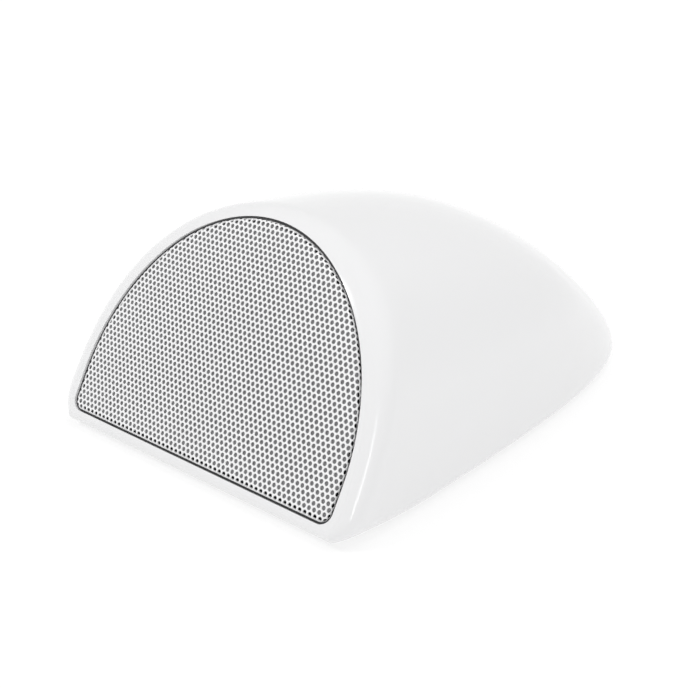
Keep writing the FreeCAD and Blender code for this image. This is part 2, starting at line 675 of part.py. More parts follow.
def make_basket():
    """Pressed frame: flange, four spokes, spider shelf and rear plate seat."""
    shelf = SPIDER_DEPTH + 0.4
    flange = turned([(SURROUND_OUTER - 0.6, FLANGE_FRONT), (FLANGE_RADIUS, FLANGE_FRONT),
                     (FLANGE_RADIUS, FLANGE_BACK), (SURROUND_OUTER - 0.6, FLANGE_BACK)])
    seat = PLATE_RADIUS + 0.1
    rear = turned([(SPIDER_OUTER, shelf), (SHELF_RADIUS, shelf), (SHELF_RADIUS, TOP_PLATE_FRONT + 1.4),
                   (seat, TOP_PLATE_FRONT + 1.4), (seat, TOP_PLATE_FRONT),
                   (PLATE_RADIUS - 3.0, TOP_PLATE_FRONT), (PLATE_RADIUS - 3.0, TOP_PLATE_FRONT - 1.0),
                   (SPIDER_OUTER, TOP_PLATE_FRONT - 1.0)])
    wall = turned([(SURROUND_OUTER + 2.0, FLANGE_BACK - 0.2), (SURROUND_OUTER + 3.2, FLANGE_BACK - 0.2),
                   (SHELF_RADIUS, shelf + 1.2), (SHELF_RADIUS - 1.2, shelf)])
    spokes = None
    for turn in range(4):
        bar = Part.makeBox(12.0, BIG, 60.0, Vector(-6.0, 0, -60.0))
        bar.rotate(Vector(0, 0, 0), Vector(0, 0, 1), 90.0 * turn)
        bar.translate(Vector(0, DRIVER_HEIGHT, 0))
        arm = wall.common(on_front(bar))
        spokes = arm if spokes is None else spokes.fuse(arm)
    basket = flange.fuse(rear).fuse(spokes)
    for x, f in DRIVER_SCREW_SPOTS:
        basket = basket.cut(rod(SCREW_SHANK / 2 + SCREW_PASS, front_point(x, f, 0), INWARD, FLANGE_BACK + 1))
    return basket.removeSplitter()


def make_driver():
    """All driver pieces, by node."""
    pieces = {}
    pieces["driver_basket"] = make_basket()
    seal = turned([(BAFFLE_HOLE_RADIUS + 0.3, BAFFLE_BACK), (FLANGE_RADIUS, BAFFLE_BACK),
                   (FLANGE_RADIUS, FLANGE_FRONT), (BAFFLE_HOLE_RADIUS + 0.3, FLANGE_FRONT)])
    for x, f in DRIVER_SCREW_SPOTS:
        seal = seal.cut(rod(SCREW_SHANK / 2 + SCREW_PASS, front_point(x, f, 0), INWARD, FLANGE_BACK))
    pieces["driver_gasket"] = seal
    pieces["driver_surround"] = make_surround()
    pieces["driver_cone"] = make_cone()
    pieces["driver_dust_cap"] = make_dust_cap()
    pieces["driver_spider"] = make_spider()
    coil_front = TOP_PLATE_FRONT - 1.0
    coil_back = TOP_PLATE_BACK + 1.5
    pieces["voice_coil_former"] = turned([(COIL_RADIUS, NECK_DEPTH - 0.6), (FORMER_OUTER, NECK_DEPTH - 0.6),
                                          (FORMER_OUTER, coil_back + 0.8), (COIL_RADIUS, coil_back + 0.8)])
    pieces["voice_coil_winding"] = turned([(FORMER_OUTER, coil_front), (WINDING_OUTER, coil_front),
                                           (WINDING_OUTER, coil_back), (FORMER_OUTER, coil_back)])
    pieces["driver_top_plate"] = turned([(PLATE_BORE, TOP_PLATE_FRONT), (PLATE_RADIUS, TOP_PLATE_FRONT),
                                         (PLATE_RADIUS, TOP_PLATE_BACK), (PLATE_BORE, TOP_PLATE_BACK)])
    pieces["driver_magnet"] = turned([(PLATE_BORE + 1.6, TOP_PLATE_BACK), (MAGNET_RADIUS, TOP_PLATE_BACK),
                                      (MAGNET_RADIUS, MAGNET_BACK), (PLATE_BORE + 1.6, MAGNET_BACK)])
    yoke_back = MAGNET_BACK + YOKE_THICK
    pieces["driver_yoke"] = turned([(0.0, TOP_PLATE_FRONT), (POLE_RADIUS, TOP_PLATE_FRONT),
                                    (POLE_RADIUS, MAGNET_BACK), (PLATE_RADIUS, MAGNET_BACK),
                                    (PLATE_RADIUS, yoke_back - 1.0), (PLATE_RADIUS - 1.0, yoke_back),
                                    (0.0, yoke_back)])
    pieces["driver_screws"] = group([screw(front_point(x, f, FLANGE_BACK), INWARD * -1, DRIVER_SCREW_LENGTH,
                                           4.4) for x, f in DRIVER_SCREW_SPOTS])
    return pieces


TERMINAL_F = DRIVER_HEIGHT + 26.0
TERMINAL_X = 14.0           # middle of the strip, clear of the top spoke
TERMINAL_SPREAD = 2.0
LUG_LENGTH = 4.5
LUG_FRONT = FLANGE_BACK + 1.2


def make_terminals():
    """Insulating strip on the flange and the two brass solder lugs."""
    strip = on_front(box(TERMINAL_X - 4.0, TERMINAL_X + 4.0, TERMINAL_F - 1.6, TERMINAL_F + 1.6,
                         -LUG_FRONT, -FLANGE_BACK))
    lugs = []
    for side in (-1, 1):
        x = TERMINAL_X + side * TERMINAL_SPREAD
        lug = box(x - 1.0, x + 1.0, TERMINAL_F - 0.4, TERMINAL_F + 0.4, -LUG_FRONT - LUG_LENGTH, -LUG_FRONT)
        lugs.append(on_front(lug))
    return strip, group(lugs)


# --- base ----------------------------------------------------------------------------------
def make_base():
    """Plate that closes the underside, with board posts and pads for the feet."""
    plate = plan_block(BASE_INSET + BASE_SLACK, BASE_FRONT + BASE_SLACK, 0.0, FLOOR)
    for x, y in BASE_SPOTS:
        plate = plate.cut(rod(SCREW_SHANK / 2 + SCREW_PASS, Vector(x, y, -1), UP, FLOOR + 2))
        plate = plate.cut(rod(SCREW_HEAD / 2 + SCREW_PASS, Vector(x, y, -1), UP, BASE_SEAT + 1))
    for x, y in FOOT_SPOTS:
        plate = plate.cut(rod(FOOT_DIAMETER / 2 + FIT_GAP, Vector(x, y, -1), UP, FOOT_THICK - FOOT_GAP + 1))
    for x, y in BOARD_SPOTS:
        plate = plate.fuse(rod(3.2, Vector(x, y, FLOOR - 0.5), UP, BOARD_HEIGHT - FLOOR + 0.5))
        plate = plate.cut(rod(SCREW_SHANK / 2 + SCREW_PLAY, Vector(x, y, FLOOR), UP, BOARD_HEIGHT))
    for x, y in TUB_SPOTS:
        plate = plate.fuse(rod(3.6, Vector(x, y, FLOOR - 0.5), UP, TUB_FLOOR - FLOOR + 0.5))
        plate = plate.cut(rod(SCREW_SHANK / 2 + SCREW_PLAY, Vector(x, y, 0.8), UP, TUB_FLOOR))
    return plate.removeSplitter()


def make_base_screws():
    """Screws driven up through the base plate into the housing bosses."""
    return group([screw(Vector(x, y, BASE_SEAT), UP, BASE_SCREW_LENGTH, SCREW_HEAD, BASE_SEAT)
                  for x, y in BASE_SPOTS])


def make_feet():
    """Rubber feet set in the pads."""
    feet = []
    for x, y in FOOT_SPOTS:
        foot = rod(FOOT_DIAMETER / 2, Vector(x, y, -FOOT_GAP), UP, FOOT_THICK)
        rim = [e for e in foot.Edges if e.BoundBox.ZMax < -FOOT_GAP + 0.01]
        feet.append(foot.makeFillet(0.5, rim))
    return group(feet)


# --- electronics -----------------------------------------------------------------------------
BOARD_TOP = BOARD_HEIGHT + BOARD_THICK
BOARD_BACK = BOARD_FRONT + BOARD_LENGTH
SHIELD = (-26.0, 4.0, BOARD_FRONT + 8.0, BOARD_FRONT + 34.0)
SHIELD_HIGH = 3.0
FIN_COUNT = 9


def make_main_board():
    """Main circuit board on four posts."""
    board = box(-BOARD_WIDTH / 2, BOARD_WIDTH / 2, BOARD_FRONT, BOARD_BACK, BOARD_HEIGHT, BOARD_TOP)
    upright = [e for e in board.Edges if e.BoundBox.ZLength > 1.0]
    board = board.makeFillet(2.0, upright)
    for x, y in BOARD_SPOTS:
        board = board.cut(rod(SCREW_SHANK / 2 + SCREW_PASS, Vector(x, y, 0), UP, BIG))
    return board


def make_heat_sink():
    """Finned block on the shield can."""
    x0, x1, y0, y1 = SHIELD
    low = BOARD_TOP + SHIELD_HIGH
    sink = box(x0 + 1, x1 - 1, y0 + 1, y1 - 1, low, low + 2.0)
    span = x1 - x0 - 2
    pitch = (span - 1.2) / (FIN_COUNT - 1)
    for fin in range(FIN_COUNT):
        left = x0 + 1 + fin * pitch
        sink = sink.fuse(box(left, left + 1.2, y0 + 1, y1 - 1, low + 1.9, low + 9.0))
    return sink.removeSplitter()


CAPACITOR_SPOTS = [(14.0, BOARD_FRONT + 40.0), (24.0, BOARD_FRONT + 40.0)]
INDUCTOR_SPOTS = [(14.0, BOARD_FRONT + 27.0), (26.0, BOARD_FRONT + 27.0)]
CHIP_PLACES = [(10.0, BOARD_FRONT + 12.0, 9.0, 9.0), (22.0, BOARD_FRONT + 13.0, 6.0, 8.0),
               (-20.0, BOARD_FRONT + 42.0, 8.0, 5.0), (-8.0, BOARD_FRONT + 42.0, 5.0, 5.0)]
DRIVER_PLUG = (10.0, BOARD_FRONT + 3.0)
PORT_PLUG = (0.0, BOARD_BACK - 4.0)
PLUG_HIGH = 5.0
LEAD_RADIUS = 0.7


def make_connectors():
    """Wire-to-board sockets for the driver, the port board and the microphones."""
    sockets = []
    for x, y in (DRIVER_PLUG, PORT_PLUG):
        sockets.append(box(x - 6, x + 6, y - 2.4, y + 2.4, BOARD_TOP, BOARD_TOP + PLUG_HIGH))
    return group(sockets)


def make_small_parts():
    """Components that stand on the main board, by node."""
    pieces = {}
    x0, x1, y0, y1 = SHIELD
    can = box(x0, x1, y0, y1, BOARD_TOP, BOARD_TOP + SHIELD_HIGH)
    pieces["shield_can"] = can.cut(box(x0 + 0.3, x1 - 0.3, y0 + 0.3, y1 - 0.3, BOARD_TOP - 1,
                                       BOARD_TOP + SHIELD_HIGH - 0.3))
    pieces["heat_sink"] = make_heat_sink()
    cans = []
    for x, y in CAPACITOR_SPOTS:
        body = rod(4.0, Vector(x, y, BOARD_TOP), UP, 10.0)
        cans.append(body.makeFillet(0.6, [e for e in body.Edges if e.BoundBox.ZMin > BOARD_TOP + 9]))
    pieces["bulk_capacitors"] = group(cans)
    coils = []
    for x, y in INDUCTOR_SPOTS:
        block = box(x - 4.5, x + 4.5, y - 4.5, y + 4.5, BOARD_TOP, BOARD_TOP + 4.5)
        coils.append(block.makeFillet(1.2, [e for e in block.Edges if e.BoundBox.ZLength > 1]))
    pieces["power_inductors"] = group(coils)
    pieces["board_chips"] = group([box(x - a / 2, x + a / 2, y - b / 2, y + b / 2, BOARD_TOP, BOARD_TOP + 1.2)
                                   for x, y, a, b in CHIP_PLACES])
    pieces["board_connectors"] = make_connectors()
    pieces["board_screws"] = group([screw(Vector(x, y, BOARD_TOP), UP * -1, 5.0) for x, y in BOARD_SPOTS])
    return pieces


def make_driver_leads():
    """Two leads from the terminal lugs down to the board socket."""
    leads = []
    for side in (-1, 1):
        x = TERMINAL_X + side * TERMINAL_SPREAD
        start = front_point(x, TERMINAL_F, LUG_FRONT + LUG_LENGTH)
        turn = front_point(x, TERMINAL_F, LUG_FRONT + LUG_LENGTH + 14.0)
        plug_x = DRIVER_PLUG[0] + side * 2.0
        end = Vector(plug_x, DRIVER_PLUG[1], BOARD_TOP + PLUG_HIGH)
        leads.append(lead([start, turn, end + Vector(0, 0, 14.0), end], 7.0, LEAD_RADIUS))
    return group(leads)


def make_mics():
    """Two microphone boards on the baffle and their capsules."""
    boards, capsules = [], []
    for x, f in MIC_SPOTS:
        plate = box(x - 6, x + 6, f - 4, f + 4, -BAFFLE_FRONT, -BAFFLE_FRONT + 1.0)
        boards.append(on_front(plate))
        can = box(x - 2, x + 2, f - 1.5, f + 1.5, -BAFFLE_FRONT + 1.0, -BAFFLE_FRONT + 2.1)
        capsules.append(on_front(can))
    return group(boards), group(capsules)


def make_antennas():
    """Two flat antenna strips glued to the side walls of the board area."""
    strips = []
    for side in (-1, 1):
        x = side * (BOARD_WIDTH / 2 + 8.0)
        strips.append(box(x - 0.4, x + 0.4, BOARD_FRONT + 15, BOARD_FRONT + 46, FLOOR, FLOOR + 9.0))
    return group(strips)


# --- rear ports -------------------------------------------------------------------------------
PANEL_BACK = PORT_PLANE - PORT_PANEL
PORT_BOARD_FACE = PANEL_BACK - PORT_BOARD_GAP
PORT_BOARD_REAR = PORT_BOARD_FACE - BOARD_THICK
BUTTON_PLAY = 0.3
SLOT_PLAY = 0.3
PORT_POSTS = [(-22.0, PORT_ROW), (22.0, PORT_ROW + 6.0)]   # the right one is above the slider


def make_tub():
    """Port bay: a panel with walls that run out to the skin of the tail."""
    outer = box(-TUB_HALF_WIDTH, TUB_HALF_WIDTH, PANEL_BACK, BIG, TUB_FLOOR, TUB_ROOF)
    skin = form(0.5, 0.0)
    tub = outer.common(skin)
    hollow = TUB_HALF_WIDTH - TUB_WALL
    tub = tub.cut(box(-hollow, hollow, PORT_PLANE, BIG, TUB_FLOOR + TUB_WALL, TUB_ROOF - TUB_WALL))
    for x, z in PORT_POSTS:
        tub = tub.fuse(rod(2.6, Vector(x, PORT_BOARD_FACE, z), BACK, PORT_BOARD_GAP + 0.5))
        tub = tub.cut(rod(SCREW_SHANK / 2 + SCREW_PLAY, Vector(x, PORT_BOARD_FACE - 1, z), BACK, 7.0))
    tub = tub.cut(rod(JACK_NOSE / 2 + FIT_GAP, Vector(0, PANEL_BACK - 1, PORT_ROW), BACK, PORT_PANEL + 2))
    tub = tub.cut(rod(BUTTON_DIAMETER / 2 + BUTTON_PLAY, Vector(BUTTON_X, PANEL_BACK - 1, PORT_ROW), BACK,
                      PORT_PANEL + 2))
    slot = (SLIDER_NUB + SLIDER_TRAVEL) / 2 + SLOT_PLAY
    tub = tub.cut(box(SLIDER_X - slot, SLIDER_X + slot, PANEL_BACK - 1, PORT_PLANE + 1,
                      PORT_ROW - SLIDER_HIGH / 2 - SLOT_PLAY, PORT_ROW + SLIDER_HIGH / 2 + SLOT_PLAY))
    for x, y in TUB_SPOTS:
        tub = tub.cut(rod(SCREW_SHANK / 2 + SCREW_PASS, Vector(x, y, 0), UP, TUB_FLOOR + TUB_WALL + 1))
    return largest(tub.removeSplitter())


def make_ports():
    """Port board and everything on it, by node."""
    pieces = {}
    half = TUB_HALF_WIDTH - 1.0
    board = box(-half, half, PORT_BOARD_REAR, PORT_BOARD_FACE, TUB_FLOOR + 2.0, TUB_ROOF - 2.0)
    for x, z in PORT_POSTS:
        board = board.cut(rod(SCREW_SHANK / 2 + SCREW_PASS, Vector(x, PORT_BOARD_REAR - 1, z), BACK, 4.0))
    pieces["port_board"] = board
    pieces["port_board_screws"] = group([screw(Vector(x, PORT_BOARD_REAR, z), BACK, 6.0, 4.4)
                                         for x, z in PORT_POSTS])
    jack = box(-4.5, 4.5, PORT_BOARD_FACE, PANEL_BACK - FIT_GAP, PORT_ROW - 5.0, PORT_ROW + 5.0)
    jack = jack.fuse(rod(JACK_NOSE / 2, Vector(0, PANEL_BACK - 1, PORT_ROW), BACK, PORT_PANEL + 0.7))
    jack = jack.cut(rod(JACK_BORE / 2, Vector(0, PORT_BOARD_FACE + 1.5, PORT_ROW), BACK, BIG))
    pieces["dc_jack"] = jack.removeSplitter()
    pieces["dc_jack_pin"] = rod(JACK_PIN / 2, Vector(0, PORT_BOARD_FACE + 1.5, PORT_ROW), BACK,
                                PORT_BOARD_GAP - 1.5 + PORT_PANEL - 1.0)
    cap = rod(BUTTON_DIAMETER / 2, Vector(BUTTON_X, PANEL_BACK - 1.5, PORT_ROW), BACK, PORT_PANEL + 2.7)
    rim = [e for e in cap.Edges if e.BoundBox.YMin > PORT_PLANE + 1]
    cap = cap.makeFillet(0.5, rim)
    collar = rod(BUTTON_DIAMETER / 2 + 1.2, Vector(BUTTON_X, PANEL_BACK - 1.5, PORT_ROW), BACK, 1.3)
    pieces["pairing_button"] = cap.fuse(collar).removeSplitter()
    switch_front = PANEL_BACK - 1.5 - BUTTON_TRAVEL - 0.1
    body = box(BUTTON_X - 3, BUTTON_X + 3, PORT_BOARD_FACE, PORT_BOARD_FACE + 3.4, PORT_ROW - 3, PORT_ROW + 3)
    stem_length = switch_front - PORT_BOARD_FACE - 3.3
    stem = rod(1.6, Vector(BUTTON_X, PORT_BOARD_FACE + 3.3, PORT_ROW), BACK, stem_length)
    pieces["pairing_switch"] = body.fuse(stem).removeSplitter()
    plate_front = PANEL_BACK - FIT_GAP
    nub = box(SLIDER_X - SLIDER_NUB / 2, SLIDER_X + SLIDER_NUB / 2, plate_front - 1.2, PORT_PLANE + 0.8,
              PORT_ROW - SLIDER_HIGH / 2, PORT_ROW + SLIDER_HIGH / 2)
    plate = box(SLIDER_X - 5.4, SLIDER_X + 5.4, plate_front - 1.2, plate_front, PORT_ROW - 3, PORT_ROW + 3)
    blade = box(SLIDER_X - 1.0, SLIDER_X + 1.0, PORT_BOARD_FACE + 2.6, plate_front - 1.0,
                PORT_ROW - 0.8, PORT_ROW + 0.8)
    pieces["mute_slider"] = nub.fuse(plate).fuse(blade).removeSplitter()
    body = box(SLIDER_X - 5, SLIDER_X + 5, PORT_BOARD_FACE, PORT_BOARD_FACE + 4.4,
               PORT_ROW - 2.6, PORT_ROW + 2.6)
    channel = 1.0 + SLIDER_TRAVEL / 2 + SLOT_PLAY
    pieces["mute_switch"] = body.cut(box(SLIDER_X - channel, SLIDER_X + channel, PORT_BOARD_FACE + 2.0,
                                         PORT_BOARD_FACE + 6, PORT_ROW - 1.1, PORT_ROW + 1.1))
    pieces["port_screws"] = group([screw(Vector(x, y, TUB_FLOOR + TUB_WALL), UP * -1, 5.0)
                                   for x, y in TUB_SPOTS])
    leads = []
    for side in (-1, 1):
        start = Vector(side * 2.0, PORT_BOARD_REAR, PORT_ROW + 2.0)
        end = Vector(side * 2.0, PORT_PLUG[1], BOARD_TOP + PLUG_HIGH)
        leads.append(lead([start, Vector(start.x, PORT_PLUG[1], start.z), end], 1.6, LEAD_RADIUS))
    pieces["port_leads"] = group(leads)
    return pieces


def make_wadding():
    """Block of polyester wadding under the roof, behind the driver."""
    block = form(WALL + SOFT_GAP, 0.0).common(box(-38.0, 38.0, BOARD_FRONT + 10, BOARD_BACK + 4, 30.0, BIG))
    return largest(block)


# --- write everything ----------------------------------------------------------------------------
pieces = {
    "housing_shell": make_housing(),
    "grille": make_grille(),
    "grille_scrim": make_scrim(),
    "grille_frame": make_frame(),
    "front_baffle": make_baffle(),
    "baffle_gasket": make_gasket(),
    "baffle_screws": make_baffle_screws(),
    "base_plate": make_base(),
    "base_screws": make_base_screws(),
    "rubber_feet": make_feet(),
    "main_board": make_main_board(),
    "driver_leads": make_driver_leads(),
    "wifi_antennas": make_antennas(),
    "port_tub": make_tub(),
    "acoustic_wadding": make_wadding(),
}
pieces.update(make_driver())
pieces.update(make_small_parts())
pieces.update(make_ports())
pieces["terminal_strip"], pieces["terminal_lugs"] = make_terminals()
pieces["mic_boards"], pieces["mic_capsules"] = make_mics()
skin_points = pieces["housing_shell"].tessellate(0.05)[0]
middle = (min(point.y for point in skin_points) + max(point.y for point in skin_points)) / 2
print("middle of the body behind the foot line: %.3f" % middle)
for name, shape in pieces.items():
    export(name, shape, middle)
    size = shape.BoundBox
    print("%-20s %3d solids  %6.1f x %6.1f x %6.1f" % (name, len(shape.Solids), size.XLength, size.YLength,
                                                     size.ZLength))
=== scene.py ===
"""Looks of the smart speaker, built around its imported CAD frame.

The desk is z = 0, the grille faces -Y and leans back, and the tail points to +Y.
Sizes in the classes are millimetres; meshes are in metres.
"""

import logging
import math
from dataclasses import dataclass, replace
from enum import Enum
from functools import cache
from typing import ClassVar, Iterable, Union

import bpy
import numpy as np
from mathutils import Matrix, Vector, geometry, kdtree


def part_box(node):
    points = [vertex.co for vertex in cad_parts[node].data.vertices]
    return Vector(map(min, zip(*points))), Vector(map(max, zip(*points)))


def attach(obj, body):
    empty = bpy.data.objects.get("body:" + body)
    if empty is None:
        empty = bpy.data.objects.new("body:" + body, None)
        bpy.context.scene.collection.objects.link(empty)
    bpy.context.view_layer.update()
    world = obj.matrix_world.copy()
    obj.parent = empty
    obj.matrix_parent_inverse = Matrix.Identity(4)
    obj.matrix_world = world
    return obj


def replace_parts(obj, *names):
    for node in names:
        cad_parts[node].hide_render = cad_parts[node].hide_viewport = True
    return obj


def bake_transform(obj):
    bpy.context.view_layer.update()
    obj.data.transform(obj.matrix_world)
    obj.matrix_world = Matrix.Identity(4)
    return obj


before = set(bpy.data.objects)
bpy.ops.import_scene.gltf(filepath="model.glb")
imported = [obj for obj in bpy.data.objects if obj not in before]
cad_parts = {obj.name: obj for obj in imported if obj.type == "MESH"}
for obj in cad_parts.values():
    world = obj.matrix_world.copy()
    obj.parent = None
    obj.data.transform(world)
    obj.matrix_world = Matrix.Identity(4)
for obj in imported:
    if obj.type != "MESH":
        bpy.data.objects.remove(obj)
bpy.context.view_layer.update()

LOG = logging.getLogger("speaker")
MM = 0.001
LEAN = math.radians(29.9)
DRIVER_RISE = 48.0
GASKET_DEPTH = 10.4
Colour = Triple = tuple[float, float, float]
Pair = tuple[float, float]
Loop = list[Pair]
Key = Union[int, str]
Piece = bpy.types.Object


# --- shader expressions ------------
class Signal:
    """One output socket of a node, that shader maths is written with."""

    def __init__(self, book: "NodeBook", node: bpy.types.Node, output: Key = 0) -> None:
        """Keep the node, which output of it is meant, and their node book."""
        self.book, self.node, self.output = book, node, output

    def __getitem__(self, output: Key) -> "Signal":
        """Another output of the same node."""
        return Signal(self.book, self.node, output)

    def _math(self, operation: str, first: "Feed", second: "Feed" = 0.0) -> "Signal":
        """One Math node's result."""
        return self.book.add("ShaderNodeMath", {0: first, 1: second}, operation=operation)

    def __add__(self, other: "Feed") -> "Signal":
        """Sum."""
        return self._math("ADD", self, other)

    __radd__ = __add__

    def __sub__(self, other: "Feed") -> "Signal":
        """Difference."""
        return self._math("SUBTRACT", self, other)

    def __rsub__(self, other: "Feed") -> "Signal":
        """Difference with the signal on the right."""
        return self._math("SUBTRACT", other, self)

    def __mul__(self, other: "Feed") -> "Signal":
        """Product."""
        return self._math("MULTIPLY", self, other)

    __rmul__ = __mul__

    def __pow__(self, other: "Feed") -> "Signal":
        """Power."""
        return self._math("POWER", self, other)

    def __gt__(self, other: "Feed") -> "Signal":
        """1 where the signal is the larger, else 0."""
        return self._math("GREATER_THAN", self, other)

    def wave(self) -> "Signal":
        """Sine of the signal."""
        return self._math("SINE", self)

    def swing(self, width: float) -> "Signal":
        """The signal about its middle of 0.5, scaled to a width."""
        return (self - 0.5) * width


Feed = Union[float, int, tuple, Signal]


class NodeBook:
    """The node tree of a material or a world."""

    def __init__(self, tree: bpy.types.NodeTree) -> None:
        """Empty the tree."""
        self.tree = tree
        tree.nodes.clear()

    def add(self, kind: str, feeds: dict, **settings: str) -> Signal:
        """Add one node.

        Args:
            kind: Blender's type name of the node.
            feeds: Socket name or number to a value or a signal.
            **settings: Properties of the node, set first.

        Returns:
            The node's first output.
        """
        node = self.tree.nodes.new(kind)
        for key, value in settings.items():
            setattr(node, key, value)
        for key, value in feeds.items():
            if isinstance(value, Signal):
                self.tree.links.new(value.node.outputs[value.output], node.inputs[key])
            else:
                node.inputs[key].default_value = value
        return Signal(self, node)

    def place(self, space: str = "Object") -> Signal:
        """Position, in the piece's own metres if no other space is named."""
        return self.add("ShaderNodeTexCoord", {})[space]

    def axes(self, space: str = "Object") -> tuple[Signal, Signal, Signal]:
        """The three parts of the position."""
        parts = self.add("ShaderNodeSeparateXYZ", {0: self.place(space)})
        return parts[0], parts[1], parts[2]

    def mapped(self, value: Signal, source: Pair, target: Pair) -> Signal:
        """Value clamped to the source's ends and carried over to the target's."""
        return self.add("ShaderNodeMapRange", dict(enumerate((value, *source, *target))))

    def noise(self, scale: float, detail: float = 3.0) -> Signal:
        """Smooth noise between 0 and 1, from cells to the metre and octaves."""
        return self.add("ShaderNodeTexNoise", {"Vector": self.place(), "Scale": scale,
                                               "Detail": detail})

    def strands(self, scale: Triple, detail: float, turn: Triple = (0.0, 0.0, 0.0)) -> Signal:
        """Noise with its own cells to the metre along each axis, turned by radians."""
        feeds = {"Vector": self.place(), "Rotation": turn, "Scale": scale}
        return self.add("ShaderNodeTexNoise", {"Vector": self.add("ShaderNodeMapping", feeds),
                                               "Scale": 1.0, "Detail": detail})

    def cells(self, at: Signal, scale: float, **settings: str) -> Signal:
        """Distance in a Voronoi pattern, from a position and cells to the metre."""
        return self.add("ShaderNodeTexVoronoi", {"Vector": at, "Scale": scale},
                        **settings)["Distance"]

    def blend(self, share: Feed, first: Feed, second: Feed) -> Signal:
        """Two colours mixed, by the second one's share."""
        feeds = {0: share, 6: self._rgba(first), 7: self._rgba(second)}
        return self.add("ShaderNodeMix", feeds, data_type="RGBA")[2]

    @staticmethod
    def _rgba(value: Feed) -> Feed:
        """A colour with its alpha, or the signal as it is."""
        return value if isinstance(value, Signal) else (*value, 1.0)

    def bump(self, height: Signal, strength: float, depth: float,
             under: Union[Signal, None] = None) -> Signal:
        """Bumped normal.

        Args:
            height: Height signal.
            strength: Share of the effect.
            depth: Millimetres that a height of 1 stands for.
            under: Normal of a bump below this one.

        Returns:
            The normal.
        """
        feeds = {"Height": height, "Strength": strength, "Distance": depth * MM}
        if under is not None:
            feeds["Normal"] = under
        return self.add("ShaderNodeBump", feeds)

    def shade(self, colour: Feed, roughness: Feed, **others: Feed) -> None:
        """Close the tree with a Principled shader.

        Args:
            colour: Base colour.
            roughness: Roughness.
            **others: Other sockets, with underscores for spaces.
        """
        feeds = {"Base Color": self._rgba(colour), "Roughness": roughness}
        feeds.update({key.replace("_", " "): value for key, value in others.items()})
        shader = self.add("ShaderNodeBsdfPrincipled", feeds)
        self.add("ShaderNodeOutputMaterial", {"Surface": shader})


# --- finishes ------------
@dataclass(frozen=True)
class Finish:
    """A named finish in one main colour."""

    name: str
    colour: Colour
    tones: ClassVar[Pair] = (1.0, 1.0)

    def tone(self, factor: float) -> Colour:
        """The main colour made lighter or darker."""
        return tuple(min(1.0, part * factor) for part in self.colour)

    def mottled(self, book: NodeBook, mix: Signal) -> Signal:
        """The main colour between the finish's two tones of it."""
        return book.blend(mix, self.tone(self.tones[0]), self.tone(self.tones[1]))

    def paint(self, book: NodeBook) -> None:
        """Fill the node tree."""
        raise NotImplementedError

    @cache
    def material(self) -> bpy.types.Material:
        """Build the node material, once.

        Returns:
            The material.
        """
        made = bpy.data.materials.new(self.name)
        made.use_nodes = True
        self.paint(NodeBook(made.node_tree))
        return made


@dataclass(frozen=True)
class GlossMoulding(Finish):
    """Polished one-piece moulding with a faint flow in the gloss."""

    roughness: float = 0.16
    coat: float = 0.25
    cloud: float = 14.0
    flow: float = 95.0
    speck: float = 2600.0
    tones = (0.985, 1.015)

    def paint(self, book: NodeBook) -> None:
        """Fill the node tree.

        Args:
            book: The empty tree.
        """
        cloud, speck = book.noise(self.cloud, 2.0), book.noise(self.speck, 2.0)
        flow = book.bump(book.noise(self.flow, 2.0), 0.10, 0.2)
        book.shade(self.mottled(book, cloud),
                   self.roughness + cloud.swing(0.05) + speck.swing(0.03),
                   Normal=book.bump(speck, 0.05, 0.02, flow),
                   Coat_Weight=self.coat, Coat_Roughness=0.06, IOR=1.5)


@dataclass(frozen=True)
class SparkMoulding(Finish):
    """Matt moulding with a spark-eroded grain."""

    roughness: float = 0.5
    grain: float = 3200.0
    depth: float = 0.04
    cloud: float = 45.0
    tones = (0.86, 1.12)

    def paint(self, book: NodeBook) -> None:
        """Fill the node tree."""
        grain, cloud = book.noise(self.grain, 4.0), book.noise(self.cloud)
        book.shade(self.mottled(book, grain * 0.5 + cloud * 0.5),
                   self.roughness + grain.swing(0.16), Normal=book.bump(grain, 0.45, self.depth))


@dataclass(frozen=True)
class PowderCoat(Finish):
    """Satin powder coat on sheet metal, with its fine orange peel."""

    roughness: float = 0.34
    peel: float = 1900.0
    cloud: float = 60.0
    tones = (0.97, 1.02)

    def paint(self, book: NodeBook) -> None:
        """Fill the node tree."""
        peel = book.noise(self.peel, 2.0)
        book.shade(self.mottled(book, book.noise(self.cloud)),
                   self.roughness + peel.swing(0.12), Normal=book.bump(peel, 0.25, 0.03),
                   Specular_IOR_Level=0.6)


@dataclass(frozen=True)
class WovenCloth(Finish):
    """Plain weave with threads across and along the leaning front."""

    thread: float = 0.45
    fuzz: float = 5200.0
    cloud: float = 70.0
    tones = (0.68, 1.22)

    def paint(self, book: NodeBook) -> None:
        """Fill the node tree.

        Args:
            book: The empty tree.
        """
        across, back, up = book.axes()
        slope = back * math.sin(LEAN) + up * math.cos(LEAN)
        turns = math.tau / (2 * self.thread * MM)
        weave = (across * turns).wave() * (slope * turns).wave() * 0.5 + 0.5
        fuzz = book.noise(self.fuzz)
        shade = weave * 0.6 + fuzz * 0.25 + book.noise(self.cloud) * 0.15
        book.shade(self.mottled(book, shade), 0.85 + fuzz.swing(0.2),
                   Normal=book.bump(weave + fuzz * 0.4, 0.7, 0.1),
                   Sheen_Weight=0.25, Sheen_Roughness=0.5)


@dataclass(frozen=True)
class OpenFoam(Finish):
    """Cut foam with open cells."""

    cell: float = 1500.0
    fine: float = 4200.0
    tones = (0.5, 1.6)

    def paint(self, book: NodeBook) -> None:
        """Fill the node tree.

        Args:
            book: The empty tree.
        """
        cell = book.cells(book.place(), self.cell, feature="F1")
        mix = cell * 0.8 + book.noise(self.fine) * 0.2
        book.shade(self.mottled(book, mix), 0.92, Normal=book.bump(cell, 0.8, 0.2))


